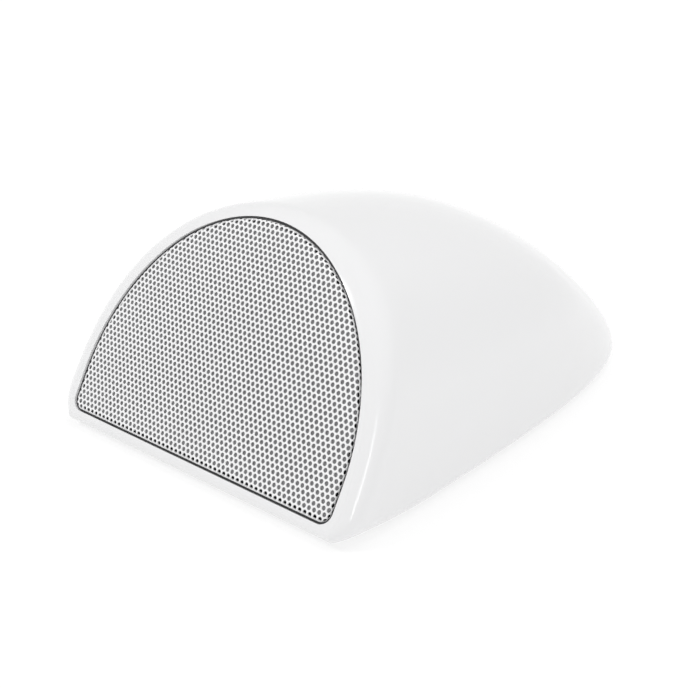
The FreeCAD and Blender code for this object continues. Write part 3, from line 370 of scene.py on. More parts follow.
@dataclass(frozen=True)
class MouldedRubber(Finish):
    """Soft rubber with a dusty bloom."""

    roughness: float = 0.62
    bloom: float = 220.0
    grain: float = 3600.0
    tones = (1.0, 1.9)

    def paint(self, book: NodeBook) -> None:
        """Fill the node tree."""
        bloom = book.noise(self.bloom, 5.0)
        book.shade(self.mottled(book, bloom ** 2.0),
                   self.roughness + bloom.swing(0.25),
                   Normal=book.bump(book.noise(self.grain, 2.0), 0.3, 0.04),
                   Specular_IOR_Level=0.35)


@dataclass(frozen=True)
class WorkedMetal(Finish):
    """Metal with fine lines from rolling, turning or plating."""

    roughness: float = 0.3
    lines: Triple = (80.0, 2500.0, 2500.0)
    tarnish: float = 0.15
    cloud: float = 140.0
    tones = (1.05, 0.62)

    def paint(self, book: NodeBook) -> None:
        """Fill the node tree."""
        lines, cloud = book.strands(self.lines, 3.0), book.noise(self.cloud, 4.0)
        book.shade(self.mottled(book, cloud * self.tarnish + lines * 0.2),
                   self.roughness + lines.swing(0.22) + cloud.swing(0.12),
                   Normal=book.bump(lines, 0.25, 0.03), Metallic=1.0)


@dataclass(frozen=True)
class MattedFibre(Finish):
    """Cone paper or lofted fibre: long fibres over felt, in two shares."""

    tones: Pair = (0.6, 1.7)
    fibre: Triple = (900.0, 2600.0, 900.0)
    turn: Triple = (0.4, 0.7, 1.1)
    felt: float = 1100.0
    shares: Pair = (0.6, 0.4)
    rough: Pair = (0.78, 0.2)
    relief: Pair = (0.6, 0.12)
    sheen: float = 0.0

    def paint(self, book: NodeBook) -> None:
        """Fill the node tree.

        Args:
            book: The empty tree.
        """
        fibre, felt = book.strands(self.fibre, 4.0, self.turn), book.noise(self.felt, 5.0)
        mix = fibre * self.shares[0] + felt * self.shares[1]
        book.shade(self.mottled(book, mix), self.rough[0] + felt.swing(self.rough[1]),
                   Normal=book.bump(mix, *self.relief), Sheen_Weight=self.sheen)


@dataclass(frozen=True)
class WoundWire(Finish):
    """Enamelled wire wound in close turns along the driver axis."""

    gauge: float = 0.25
    cloud: float = 400.0
    tones = (0.45, 1.15)

    def paint(self, book: NodeBook) -> None:
        """Fill the node tree.

        Args:
            book: The empty tree.
        """
        _, back, up = book.axes()
        depth = back * math.cos(LEAN) - up * math.sin(LEAN)
        turns = (depth * (math.tau / (self.gauge * MM))).wave() * 0.5 + 0.5
        cloud = book.noise(self.cloud, 2.0)
        book.shade(self.mottled(book, turns * 0.7 + cloud * 0.3),
                   0.28 + cloud * 0.1, Normal=book.bump(turns, 0.9, 0.1), Metallic=0.9)


class BoardFace(Enum):
    """Which way a circuit board lies."""

    LYING = (0, 1)
    UPRIGHT = (0, 2)


@dataclass(frozen=True)
class SolderMask(Finish):
    """Green solder mask over copper tracks, with tinned pads."""

    face: BoardFace = BoardFace.LYING
    track: float = 1.6
    course: float = 170.0
    pads: float = 260.0
    cloud: float = 160.0
    solder: Colour = (0.72, 0.71, 0.66)
    tones = (0.72, 1.55)

    def paint(self, book: NodeBook) -> None:
        """Fill the node tree.

        Args:
            book: The empty tree.
        """
        parts = book.axes()
        first, second = (parts[index] for index in self.face.value)
        flat = book.add("ShaderNodeCombineXYZ", {0: first, 1: second})
        course = book.cells(flat, self.course, distance="CHEBYCHEV", feature="DISTANCE_TO_EDGE")
        lanes = (first * (math.tau / (self.track * MM))).wave()
        tracks = (course > 0.12) * (lanes > 0.2)
        pad = 1.0 - (book.cells(flat, self.pads, feature="F1") > 0.17)
        cloud = book.noise(self.cloud)
        mask = self.mottled(book, tracks * 0.8 + cloud * 0.2)
        book.shade(book.blend(pad, mask, self.solder), 0.32 - pad * 0.08 + cloud * 0.06,
                   Normal=book.bump(tracks + pad, 0.35, 0.06), Coat_Weight=0.3)


@dataclass(frozen=True)
class SleevedPair(Finish):
    """Two insulated wires, one in each colour, told apart by their side."""

    middle: float = 0.0
    other: Colour = (0.03, 0.03, 0.035)
    dust: Colour = (0.3, 0.3, 0.3)
    grain: float = 2400.0

    def paint(self, book: NodeBook) -> None:
        """Fill the node tree.

        Args:
            book: The empty tree.
        """
        grain = book.noise(self.grain)
        base = book.blend(book.axes()[0] > self.middle * MM, self.other, self.colour)
        book.shade(book.blend(grain * 0.25, base, self.dust), 0.42 + grain.swing(0.15),
                   Normal=book.bump(grain, 0.2, 0.03))


@dataclass(frozen=True)
class StudioFloor(Finish):
    """Pale seamless table with a faint paper grain, lit up towards its far edge."""

    glow: float = 0.8
    reach: Pair = (0.2, 1.6)
    light: Pair = (0.8, 1.0)
    grain: float = 260.0
    tones = (0.99, 1.01)

    def paint(self, book: NodeBook) -> None:
        """Fill the node tree.

        Args:
            book: The empty tree.
        """
        grain = book.noise(self.grain)
        across, back, _ = book.axes()
        away = (across * across + back * back) ** 0.5
        share = book.mapped(away, self.reach, self.light)
        book.shade(self.mottled(book, grain), 0.75 + grain.swing(0.05),
                   Emission_Color=book.blend(share, (0.0, 0.0, 0.0), (1.0, 1.0, 1.0)),
                   Emission_Strength=self.glow, Specular_IOR_Level=0.1)


SHELL_WHITE = GlossMoulding("shell_gloss_white", (0.765, 0.765, 0.77))
BUTTON_WHITE = GlossMoulding("button_gloss_white", (0.78, 0.78, 0.785), 0.2, 0.2)
GRILLE_WHITE = PowderCoat("grille_powder_coat", (0.83, 0.83, 0.835))
# Painted shade: the scrim's dark grey is partly its own colour and partly painted shade. It is
# darker than the cloth so the grille holes read as dark as their shade.
SCRIM_GREY_AND_HOLE_SHADE = WovenCloth("scrim_cloth", (0.21, 0.21, 0.215))
# Black is the mouldings' own colour; on the grille frame it is also painted shade for the gap
# round the grille.
FRAME_BLACK = SparkMoulding("black_moulding", (0.018, 0.018, 0.02))
BAFFLE_GREY = SparkMoulding("grey_moulding", (0.16, 0.165, 0.17), 0.55)
BASE_GREY = SparkMoulding("pale_moulding", (0.62, 0.62, 0.63), 0.5, 2600.0)
RUBBER = MouldedRubber("black_rubber", (0.022, 0.022, 0.022))
FOAM = OpenFoam("black_foam", (0.03, 0.03, 0.03))
SCREW_ZINC = WorkedMetal("zinc_screws", (0.62, 0.63, 0.65), 0.28, (900.0, 900.0, 2200.0))
BASKET_COAT = PowderCoat("black_dip_coat", (0.02, 0.02, 0.022), 0.42)
PULP = MattedFibre("cone_pulp", (0.035, 0.034, 0.033))
SPIDER_CLOTH = WovenCloth("spider_cloth", (0.52, 0.33, 0.10), 0.35)
COPPER = WoundWire("coil_copper", (0.78, 0.36, 0.16))
FOIL = WorkedMetal("former_foil", (0.80, 0.80, 0.82), 0.22, (300.0, 300.0, 2600.0))
PLATE = WorkedMetal("plated_steel", (0.56, 0.57, 0.60), 0.30, (1500.0, 300.0, 1500.0))
FERRITE = SparkMoulding("ground_ferrite", (0.045, 0.045, 0.048), 0.38, 1400.0, 0.02)
BOARD = SolderMask("board_mask", (0.012, 0.11, 0.045))
PORT_BOARD = SolderMask("port_board_mask", (0.012, 0.11, 0.045), BoardFace.UPRIGHT)
TIN = WorkedMetal("tin_plate", (0.74, 0.75, 0.77), 0.24, (120.0, 1800.0, 1800.0), 0.25)
EXTRUSION = WorkedMetal("extruded_aluminium", (0.80, 0.81, 0.83), 0.32, (2600.0, 60.0, 2600.0))
SLEEVE = SparkMoulding("capacitor_sleeve", (0.02, 0.024, 0.07), 0.3, 900.0, 0.01)
CHIP = SparkMoulding("chip_moulding", (0.02, 0.02, 0.022), 0.45, 4200.0, 0.02)
NYLON = SparkMoulding("connector_nylon", (0.72, 0.70, 0.62), 0.42, 1800.0, 0.02)
DRIVER_WIRE = SleevedPair("driver_wire_sleeve", (0.38, 0.012, 0.012), 12.5)
PORT_WIRE = SleevedPair("port_wire_sleeve", (0.38, 0.012, 0.012))
BRASS = WorkedMetal("bright_brass", (0.80, 0.58, 0.24), 0.22, (1400.0, 1400.0, 400.0))
LAMINATE = SparkMoulding("strip_laminate", (0.20, 0.11, 0.045), 0.5, 700.0)
FILM = SparkMoulding("antenna_film", (0.03, 0.03, 0.034), 0.36, 2200.0, 0.01)
FIBRE = MattedFibre("wadding_fibre", (0.82, 0.82, 0.80), (0.72, 1.08), (700.0, 2800.0, 1500.0),
                    (0.5, 0.2, 0.8), 240.0, (0.5, 0.5), (0.95, 0.0), (0.9, 0.8), 0.4)
FLOOR = StudioFloor("studio_floor", (0.36, 0.36, 0.36))


# --- geometry helpers ------------
@dataclass(frozen=True)
class FrontPlane:
    """Foot line of the leaning front: rise runs up its slope and depth into the body."""

    foot_y: float
    foot_z: float

    @classmethod
    def from_frame(cls) -> "FrontPlane":
        """Find the foot line from the driver's gasket, a ring on the driver axis.

        Returns:
            The front plane.
        """
        low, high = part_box("driver_gasket")
        _, y, z = (low + high) / 2 / MM
        return cls(y - DRIVER_RISE * math.sin(LEAN) - GASKET_DEPTH * math.cos(LEAN),
                   z - DRIVER_RISE * math.cos(LEAN) + GASKET_DEPTH * math.sin(LEAN))

    def world(self, across: np.ndarray, rise: np.ndarray, depth: np.ndarray) -> np.ndarray:
        """Points in metres from places on the front.

        Args:
            across: Distances to the right.
            rise: Distances up the slope.
            depth: Distances into the body.

        Returns:
            An array of points.
        """
        across, rise, depth = np.broadcast_arrays(across, rise, depth)
        back = self.foot_y + rise * math.sin(LEAN) + depth * math.cos(LEAN)
        high = self.foot_z + rise * math.cos(LEAN) - depth * math.sin(LEAN)
        return np.stack([across, back, high], -1) * MM


@dataclass(frozen=True)
class DOutline:
    """A straight foot, two corners, short sides and a half-ellipse arch."""

    half: float
    foot: float
    spring: float
    rise: float
    corner: float
    least_corner: ClassVar[float] = 0.6
    steps: ClassVar[tuple[int, int]] = (60, 1600)

    def grown(self, by: float) -> "DOutline":
        """The same outline, larger all round."""
        return DOutline(self.half + by, self.foot - by, self.spring, self.rise + by,
                        max(self.corner + by, self.least_corner))

    def points(self, spacing: float) -> np.ndarray:
        """Evenly spaced points round the outline, anticlockwise.

        Args:
            spacing: Distance between neighbours.

        Returns:
            The points, without repeating the first.
        """
        turn = np.linspace(0.0, np.pi / 2, self.steps[0])
        arch = np.linspace(0.0, np.pi, self.steps[1])
        side = self.half - self.corner
        low = self.foot + self.corner
        right = np.stack([side + self.corner * np.sin(turn), low - self.corner * np.cos(turn)], -1)
        over = np.stack([self.half * np.cos(arch), self.spring + self.rise * np.sin(arch)], -1)
        left = right[::-1] * (-1.0, 1.0)
        path = np.concatenate([right, over, left, right[:1]])
        steps = np.linalg.norm(np.diff(path, axis=0), axis=1)
        along = np.concatenate([[0.0], np.cumsum(steps)])
        wanted = np.linspace(0.0, along[-1], int(round(along[-1] / spacing)), endpoint=False)
        return np.stack([np.interp(wanted, along, path[:, axis]) for axis in (0, 1)], -1)

    @staticmethod
    def outward(points: np.ndarray) -> np.ndarray:
        """Unit normals of a closed anticlockwise row of points."""
        x, f = (np.roll(points, -1, 0) - np.roll(points, 1, 0)).T
        return np.stack([f, -x], -1) / np.hypot(x, f)[:, None]


OPENING = DOutline(59.0, 7.0, 19.7, 69.2, 4.5)


@dataclass
class Assembly:
    """A group of pieces: some keep their CAD mesh, others are made here."""

    plane: FrontPlane
    finishes: ClassVar[dict[str, Finish]] = {}

    @staticmethod
    def dress(node: str, finish: Finish) -> Piece:
        """Give a carried-over CAD node its finish.

        Args:
            node: Name of the node.
            finish: The finish.

        Returns:
            The node's object.
        """
        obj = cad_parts[node]
        if not obj.material_slots:
            obj.data.materials.append(None)
        for place in obj.material_slots:
            place.material = finish.material()
        return obj

    @staticmethod
    def piece(name: str, points: Iterable, faces: Iterable, finish: Finish, slot: str,
              crease: float = 35.0) -> Piece:
        """Make one mesh piece.

        Args:
            name: Name of the piece.
            points: Points in metres.
            faces: Rows of point numbers.
            finish: Its finish.
            slot: Material slot of the record; not used.
            crease: Edges that turn more than this, in degrees, stay sharp.

        Returns:
            The piece, in the scene.
        """
        mesh = bpy.data.meshes.new(name)
        mesh.from_pydata([tuple(p) for p in points], [], [tuple(f) for f in faces])
        mesh.validate()
        mesh.update()
        mesh.shade_smooth()
        mesh.set_sharp_from_angle(angle=math.radians(crease))
        mesh.materials.append(finish.material())
        obj = bpy.data.objects.new(name, mesh)
        bpy.context.scene.collection.objects.link(obj)
        return obj

    def shape(self) -> list[Piece]:
        """Make the group's own pieces, if it has any."""
        return []

    def build(self) -> list[Piece]:
        """Dress the CAD nodes, then make the other pieces.

        Returns:
            The group's objects.
        """
        return [self.dress(*pair) for pair in self.finishes.items()] + self.shape()


# --- front ------------
@dataclass
class Housing(Assembly):
    """Gloss white one-piece shell."""

    finishes = {"housing_shell": SHELL_WHITE}


@dataclass
class Grille(Assembly):
    """Perforated sheet whose holes run on over its rolled edge."""

    gap: float = 0.9
    drift: Pair = (-0.35, 0.2)
    lower: float = 0.6
    sheet: float = 0.5
    sink: float = 0.3
    bend: float = 1.1
    wall: float = 1.6
    pitch: float = 2.0
    hole: float = 0.75
    rim: float = 0.06
    sides: int = 12
    first_row: float = 10.3
    columns: tuple[int, int] = (-32, 33)
    rows: tuple[int, int] = (-4, 52)
    margin: float = 3.0
    reach: float = 2.4
    spacing: float = 0.2
    thinned: int = 3
    bend_rows: int = 6
    clear: float = 0.1

    def _edges(self) -> tuple[np.ndarray, np.ndarray]:
        """Line where the flat face passes into the bend, and its outward normals.

        Returns:
            Points of the line and their normals.
        """
        inside = OPENING.grown(-self.gap)
        outline = replace(inside, foot=inside.foot - self.lower)
        outer = outline.points(self.spacing) + self.drift
        out = DOutline.outward(outer)
        return outer - out * self.bend, out

    @staticmethod
    def _finder(line: np.ndarray) -> kdtree.KDTree:
        """Nearest-point finder over a row of flat points.

        Args:
            line: The points.

        Returns:
            The finder.
        """
        tree = kdtree.KDTree(len(line))
        for number, (x, f) in enumerate(line):
            tree.insert((x, f, 0.0), number)
        tree.balance()
        return tree

    def _beyond(self, flat: np.ndarray) -> tuple[np.ndarray, np.ndarray, np.ndarray]:
        """Where flat points lie against the bend line.

        Args:
            flat: Points of the unrolled sheet.

        Returns:
            Nearest places on the line, outward normals there, and distances beyond it.
        """
        line, out = self._edges()
        tree = self._finder(line)
        found = np.array([tree.find((x, f, 0.0))[1] for x, f in flat])
        normal = out[found]
        along = np.stack([-normal[:, 1], normal[:, 0]], -1)
        gone = flat - line[found]
        foot = line[found] + along * np.sum(gone * along, 1, keepdims=True)
        return foot, normal, np.sum(gone * normal, 1)

    def _wrapped(self, flat: np.ndarray, deep: float) -> np.ndarray:
        """Points of the formed sheet.

        Args:
            flat: Points of the unrolled sheet.
            deep: Their depth under the outer face.

        Returns:
            Points in metres.
        """
        foot, normal, beyond = self._beyond(flat)
        angle = np.clip(beyond / self.bend, 0.0, np.pi / 2)
        past = np.clip(beyond - self.bend * np.pi / 2, 0.0, None)
        radius = self.bend - deep
        bent = foot + normal * (radius * np.sin(angle))[:, None]
        place = np.where((beyond > 0.0)[:, None], bent, flat)
        sunk = deep + radius * (1.0 - np.cos(angle)) + past
        return self.plane.world(place[:, 0], place[:, 1], self.sink + sunk)

    def _holes(self) -> np.ndarray:
        """Centres of the staggered holes, on to the bend.

        Returns:
            The centres.
        """
        columns, rows = np.meshgrid(np.arange(*self.columns), np.arange(*self.rows))
        x = columns * self.pitch + (rows % 2) * self.pitch / 2
        f = self.first_row + rows * (self.pitch * math.sqrt(3) / 2)
        spots = np.stack([x.ravel(), f.ravel()], -1)
        spots = spots[np.abs(spots[:, 0]) < OPENING.half + self.margin]
        return spots[self._beyond(spots)[2] < self.reach]

    def _sheet(self, holes: np.ndarray) -> tuple[np.ndarray, np.ndarray, np.ndarray]:
        """Triangles of the unrolled sheet around its holes.

        Args:
            holes: Hole centres.

        Returns:
            Flat points, triangles, and the numbers of the rings' and the border's points.
        """
        line, out = self._edges()
        quarter = self.bend * np.pi / 2
        wide = self.hole + self.rim
        turns = np.linspace(0.0, math.tau, self.sides, endpoint=False)
        ring = np.stack([np.cos(turns), np.sin(turns)], -1) * wide
        rings = (holes[:, None, :] + ring[None]).reshape(-1, 2)
        border = (line + out * (quarter + self.wall))[::self.thinned]
        shares = np.linspace(0.0, 1.0, self.bend_rows)
        fill = np.concatenate([(line + out * quarter * s)[::self.thinned] for s in shares])
        tree = self._finder(holes)
        clear = np.array([tree.find((x, f, 0.0))[2] for x, f in fill])
        flat = np.concatenate([rings, border, fill[clear > wide + self.clear]])
        loops = [list(range(n, n + self.sides)) for n in range(0, len(rings), self.sides)]
        loops.append(list(range(len(rings), len(rings) + len(border))))
        edges = [(a, b) for loop in loops for a, b in zip(loop, loop[1:] + loop[:1])]
        made = geometry.delaunay_2d_cdt([Vector(p) for p in flat], edges, [], 1, 1e-7, True)
        where = {old: new for new, olds in enumerate(made[3]) for old in olds}
        points = np.array([tuple(p) for p in made[0]])
        corners = np.array(made[2])
        away = np.array([tree.find((x, f, 0.0))[2] for x, f in points[corners].mean(1)])
        order = np.array([where[number] for number in range(len(rings) + len(border))])
        return points, corners[away > wide * 0.95], order

    def shape(self) -> list[Piece]:
        """Make the sheet and hide its CAD node.

        Returns:
            The sheet.
        """
        holes = self._holes()
        flat, corners, order = self._sheet(holes)
        count, ring_points = len(flat), len(holes) * self.sides
        rings, border = order[:ring_points], order[ring_points:]
        centres = np.repeat(holes, self.sides, 0)
        inner = centres + (flat[rings] - centres) * (self.hole / (self.hole + self.rim))
        layers = ((flat, 0.0), (flat, self.sheet), (inner, self.rim),
                  (inner, self.sheet - self.rim))
        points = np.concatenate([self._wrapped(at, deep) for at, deep in layers])
        faces = [tuple(c) for c in corners]
        faces += [(c[0] + count, c[2] + count, c[1] + count) for c in corners]
        upper, lower = 2 * count, 2 * count + ring_points
        for start in range(0, ring_points, self.sides):
            for step in range(self.sides):
                a, b = start + step, start + (step + 1) % self.sides
                faces += [(rings[a], upper + a, upper + b, rings[b]),
                          (upper + a, lower + a, lower + b, upper + b),
                          (lower + a, rings[a] + count, rings[b] + count, lower + b)]
        faces += [(b, a, a + count, b + count) for a, b in zip(border, np.roll(border, -1))]
        obj = self.piece("grille_sheet", points, faces, GRILLE_WHITE, "grille_steel", 40.0)
        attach(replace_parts(obj, "grille"), "speaker")
        return [obj]


@dataclass
class Scrim(Assembly):
    """Acoustic cloth stretched over the ring behind the grille."""

    near: float = 0.85
    thick: float = 0.3
    inset: float = 2.0
    sag: float = 0.06
    centre: float = 42.0
    spacing: float = 2.0
    rings: int = 26

    def shape(self) -> list[Piece]:
        """Make the cloth and hide its CAD node.

        Returns:
            The cloth.
        """
        edge = OPENING.grown(-self.inset)
        around = edge.points(self.spacing)
        middle = np.array([0.0, self.centre])
        count = len(around)
        shares = np.linspace(0.0, 1.0, self.rings + 1)[1:]
        flat = np.concatenate([[middle]] + [middle + (around - middle) * s for s in shares])
        share = np.concatenate([[0.0], np.repeat(shares, count)])
        sink = self.sag * (1.0 - share ** 2)
        points = np.concatenate([self.plane.world(flat[:, 0], flat[:, 1], self.near + deep)
                                 for deep in (sink, self.thick)])
        total = len(flat)
        faces, hem = [], []
        last = 1 + (self.rings - 1) * count
        for step in range(count):
            after = (step + 1) % count
            faces.append((0, 1 + step, 1 + after))
            for low in range(1, last, count):
                high = low + count
                faces.append((low + step, high + step, high + after, low + after))
            hem.append((last + step, last + step + total, last + after + total, last + after))
        faces += [tuple(n + total for n in reversed(face)) for face in faces] + hem
        # The cloth's dark grey carries painted shade for the grille holes.
        obj = self.piece("scrim_sheet", points, faces, SCRIM_GREY_AND_HOLE_SHADE, "scrim_cloth")
        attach(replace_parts(obj, "grille_scrim"), "speaker")
        wide = 2 * edge.half * MM
        tall = (edge.spring + edge.rise - edge.foot) * MM
        return [obj]


@dataclass
class FoamSeal(Assembly):
    """Strips of foam between the baffle and the housing ledge, between the bosses."""

    near: float = 10.3
    far: float = 10.9
    outer_inset: float = 1.2
    inner_inset: float = 5.0
    play: float = 0.2
    lowest: float = 11.5
    boss_clear: float = 6.5
    boss_turns: Pair = (8.0, 58.0)
    spacing: float = 1.0
    arc_steps: int = 5

    def _bosses(self) -> np.ndarray:
        """Centres of the bosses that the seal leaves free.

        Returns:
            The centres.
        """
        arch = OPENING.grown(-self.inner_inset)
        turns = np.radians(self.boss_turns)
        x, f = arch.half * np.cos(turns), arch.spring + arch.rise * np.sin(turns)
        return np.concatenate([np.stack([x, f], -1), np.stack([-x, f], -1)])

    def _section(self, width: float) -> np.ndarray:
        """Rounded section of a strip.

        Args:
            width: Width of the strip.

        Returns:
            Points as (share of the width, depth).
        """
        middle, half = (self.near + self.far) / 2, (self.far - self.near) / 2
        turns = np.linspace(-np.pi / 2, np.pi / 2, self.arc_steps)
        soft = half / width
        right = np.stack([1.0 - soft + soft * np.cos(turns), middle + half * np.sin(turns)], -1)
        left = np.stack([soft - soft * np.cos(turns), middle - half * np.sin(turns)], -1)
        return np.concatenate([right, left])

    def shape(self) -> list[Piece]:
        """Make the strips and hide their CAD node.

        Returns:
            The strips.
        """
        outer = OPENING.grown(-self.outer_inset).points(self.spacing)
        width = self.inner_inset - self.outer_inset - self.play
        inner = outer - DOutline.outward(outer) * width
        middle = (outer + inner) / 2
        away = np.linalg.norm(middle[:, None] - self._bosses()[None], axis=2).min(1)
        kept = (away > self.boss_clear) & (middle[:, 1] > self.lowest)
        section = self._section(width)
        share, depth = section[:, :1], section[:, 1]
        size = len(section)
        rows, faces, before = [], [], None
        order = np.roll(np.arange(len(outer)), -int(np.argmin(kept)))
        for number in (*order, order[0]):
            if kept[number]:
                base = len(rows) * size
                place = inner[number] * (1 - share) + outer[number] * share
                rows.append(self.plane.world(place[:, 0], place[:, 1], depth))
                if before is None:
                    faces.append(tuple(base + n for n in reversed(range(size))))
                else:
                    faces += [(before + n, before + (n + 1) % size, base + (n + 1) % size,
                               base + n) for n in range(size)]
                before = base
            elif before is not None:
                faces.append(tuple(before + n for n in range(size)))
                before = None
        points = np.concatenate(rows)
        obj = self.piece("foam_seal", points, faces, FOAM, "foam_black", 50.0)
        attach(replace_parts(obj, "baffle_gasket"), "speaker")
        return [obj]


@dataclass
class FrontStack(Assembly):
    """Ring, baffle, microphones and their screws behind the grille."""

    # The grille frame's black is partly painted shade: it darkens the gap round the grille, where
    # shade falls between the rolled edge and the bezel.
    finishes = {"grille_frame": FRAME_BLACK, "front_baffle": BAFFLE_GREY,
                "baffle_screws": SCREW_ZINC, "mic_boards": BOARD, "mic_capsules": TIN}


# --- driver ------------
@dataclass
class Driver(Assembly):
    """Full-range driver, with the soft parts that let its cone move."""

    finishes = {"driver_basket": BASKET_COAT, "driver_cone": PULP, "driver_dust_cap": PULP,
                "voice_coil_former": FOIL, "voice_coil_winding": COPPER,
                "driver_top_plate": PLATE, "driver_magnet": FERRITE, "driver_yoke": PLATE,
                "driver_screws": SCREW_ZINC, "terminal_strip": LAMINATE,
                "terminal_lugs": BRASS, "driver_leads": DRIVER_WIRE}
    sides: int = 96
    crease: float = 60.0
    flange: float = 10.8
    surround_outer: float = 26.3
    surround_inner: float = 21.5
    land: float = 1.8
    skin: float = 0.5
    corner: float = 0.15
    arc_steps: int = 14
    former: float = 10.05
    spider_outer: float = 17.6
    spider_land: float = 1.0
    spider_depth: float = 20.7
    spider_dish: float = 1.6
    spider_thick: float = 0.38
    spider_waves: int = 5
    wave_steps: int = 12
    wave: float = 0.25
    seal_inner: float = 28.5
    seal_outer: float = 33.0
    seal_near: float = 10.0
    seal_round: float = 0.25
    seal_steps: int = 4

    def _turned(self, name: str, profile: Loop, finish: Finish, slot: str) -> Piece:
        """Turn a closed profile about the driver axis.

        Args:
            name: Name of the piece.
            profile: Closed (radius, depth) loop.
            finish: Its finish.
            slot: Material slot of the record.

        Returns:
            The piece.
        """
        angles = np.linspace(0.0, math.tau, self.sides, endpoint=False)
        radius, depth = (np.array(part) for part in zip(*profile))
        across = np.outer(np.cos(angles), radius)
        climb = DRIVER_RISE + np.outer(np.sin(angles), radius)
        points = self.plane.world(across, climb, depth[None, :]).reshape(-1, 3)
        count = len(profile)
        faces = []
        for turn in range(self.sides):
            here, after = turn * count, (turn + 1) % self.sides * count
            for step in range(count):
                ahead = (step + 1) % count
                faces.append((here + step, after + step, after + ahead, here + ahead))
        return self.piece(name, points, faces, finish, slot, self.crease)

    def _stretch(self, obj: Piece, shallow: float, deep: float) -> None:
        """Bake a piece's transform into its mesh; the points at the two depths on the axis are
        found but not used.
        """
        start, end = (Vector(self.plane.world(0.0, DRIVER_RISE, at)) for at in (shallow, deep))
        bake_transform(obj)

    def _roll(self, start: float, end: float) -> tuple[Loop, Loop]:
        """Outer and inner arcs of the half roll between two angles.

        Args:
            start: First angle in degrees, 0 at the outer land.
            end: Last angle.

        Returns:
            Two rows of (radius, depth) points.
        """
        middle = (self.surround_outer + self.surround_inner) / 2
        over = (self.surround_outer - self.surround_inner) / 2
        under = over - self.skin
        angles = np.radians(np.linspace(start, end, self.arc_steps))
        outer = [(middle + over * math.cos(a), self.flange - self.skin - over * math.sin(a))
                 for a in angles]
        inner = [(middle + under * math.cos(a), self.flange - under * math.sin(a))
                 for a in angles]
        return outer, inner

    def _surround(self) -> list[Piece]:
        """Rubber half roll: an outer half, and an inner half that rides on the cone.

        Returns:
            The two halves.
        """
        land, top, cut = self.flange, self.flange - self.skin, self.corner
        outer, inner = self._roll(0.0, 90.0)
        edge = self.surround_outer + self.land
        profile = [(edge - cut, top)] + outer + inner[::-1] + [(edge - cut, land)]
        profile += [(edge, land - cut), (edge, top + cut)]
        outside = self._turned("surround_outer_roll", profile, RUBBER, "rubber_black")
        crest = top - (self.surround_outer - self.surround_inner) / 2
        self._stretch(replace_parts(outside, "driver_surround"), top, crest + self.skin)
        outer, inner = self._roll(90.0, 180.0)
        edge = self.surround_inner - self.land
        profile = outer + [(edge + cut, top), (edge, top + cut), (edge, land - cut),
                           (edge + cut, land)] + inner[::-1]
        inside = self._turned("surround_inner_roll", profile, RUBBER, "rubber_black")
        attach(inside, "cone_assembly")
        return [outside, inside]

    def _spider(self) -> Piece:
        """Corrugated cloth that stretches between the basket shelf and the former.

        Returns:
            The disc.
        """
        steps = self.wave_steps * self.spider_waves
        upper = []
        for step in range(steps + 1):
            along = step / steps
            wave = self.wave - self.wave * math.cos(math.tau * self.spider_waves * along)
            level = self.spider_depth + self.spider_dish * (1.0 - along) - wave
            upper.append((self.former + (self.spider_outer - self.former) * along, level))
        upper.append((self.spider_outer + self.spider_land, self.spider_depth))
        lower = [(radius, level + self.spider_thick) for radius, level in reversed(upper)]
        disc = self._turned("spider_disc", upper + lower, SPIDER_CLOTH, "spider_cloth")
        self._stretch(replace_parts(disc, "driver_spider"), self.spider_depth,
                      self.spider_depth + self.spider_dish)
        return disc

    def _seal(self) -> Piece:
        """Rubber ring under the flange, with its edges rounded over.

        Returns:
            The ring.
        """
        soft = self.seal_round
        outer, inner = self.seal_outer - soft, self.seal_inner + soft
        far, near = self.flange - soft, self.seal_near + soft
        turns = np.linspace(0.0, np.pi / 2, self.seal_steps)
        profile = []
        for corner, (radius, depth) in enumerate(((outer, far), (inner, far), (inner, near),
                                                  (outer, near))):
            first = corner * np.pi / 2
            profile += [(radius + soft * math.cos(first + t), depth + soft * math.sin(first + t))
                        for t in turns]
        ring = self._turned("flange_seal", profile, RUBBER, "rubber_black")
        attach(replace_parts(ring, "driver_gasket"), "speaker")
        return ring

    def shape(self) -> list[Piece]:
        """Make the soft parts."""
        return [*self._surround(), self._spider(), self._seal()]


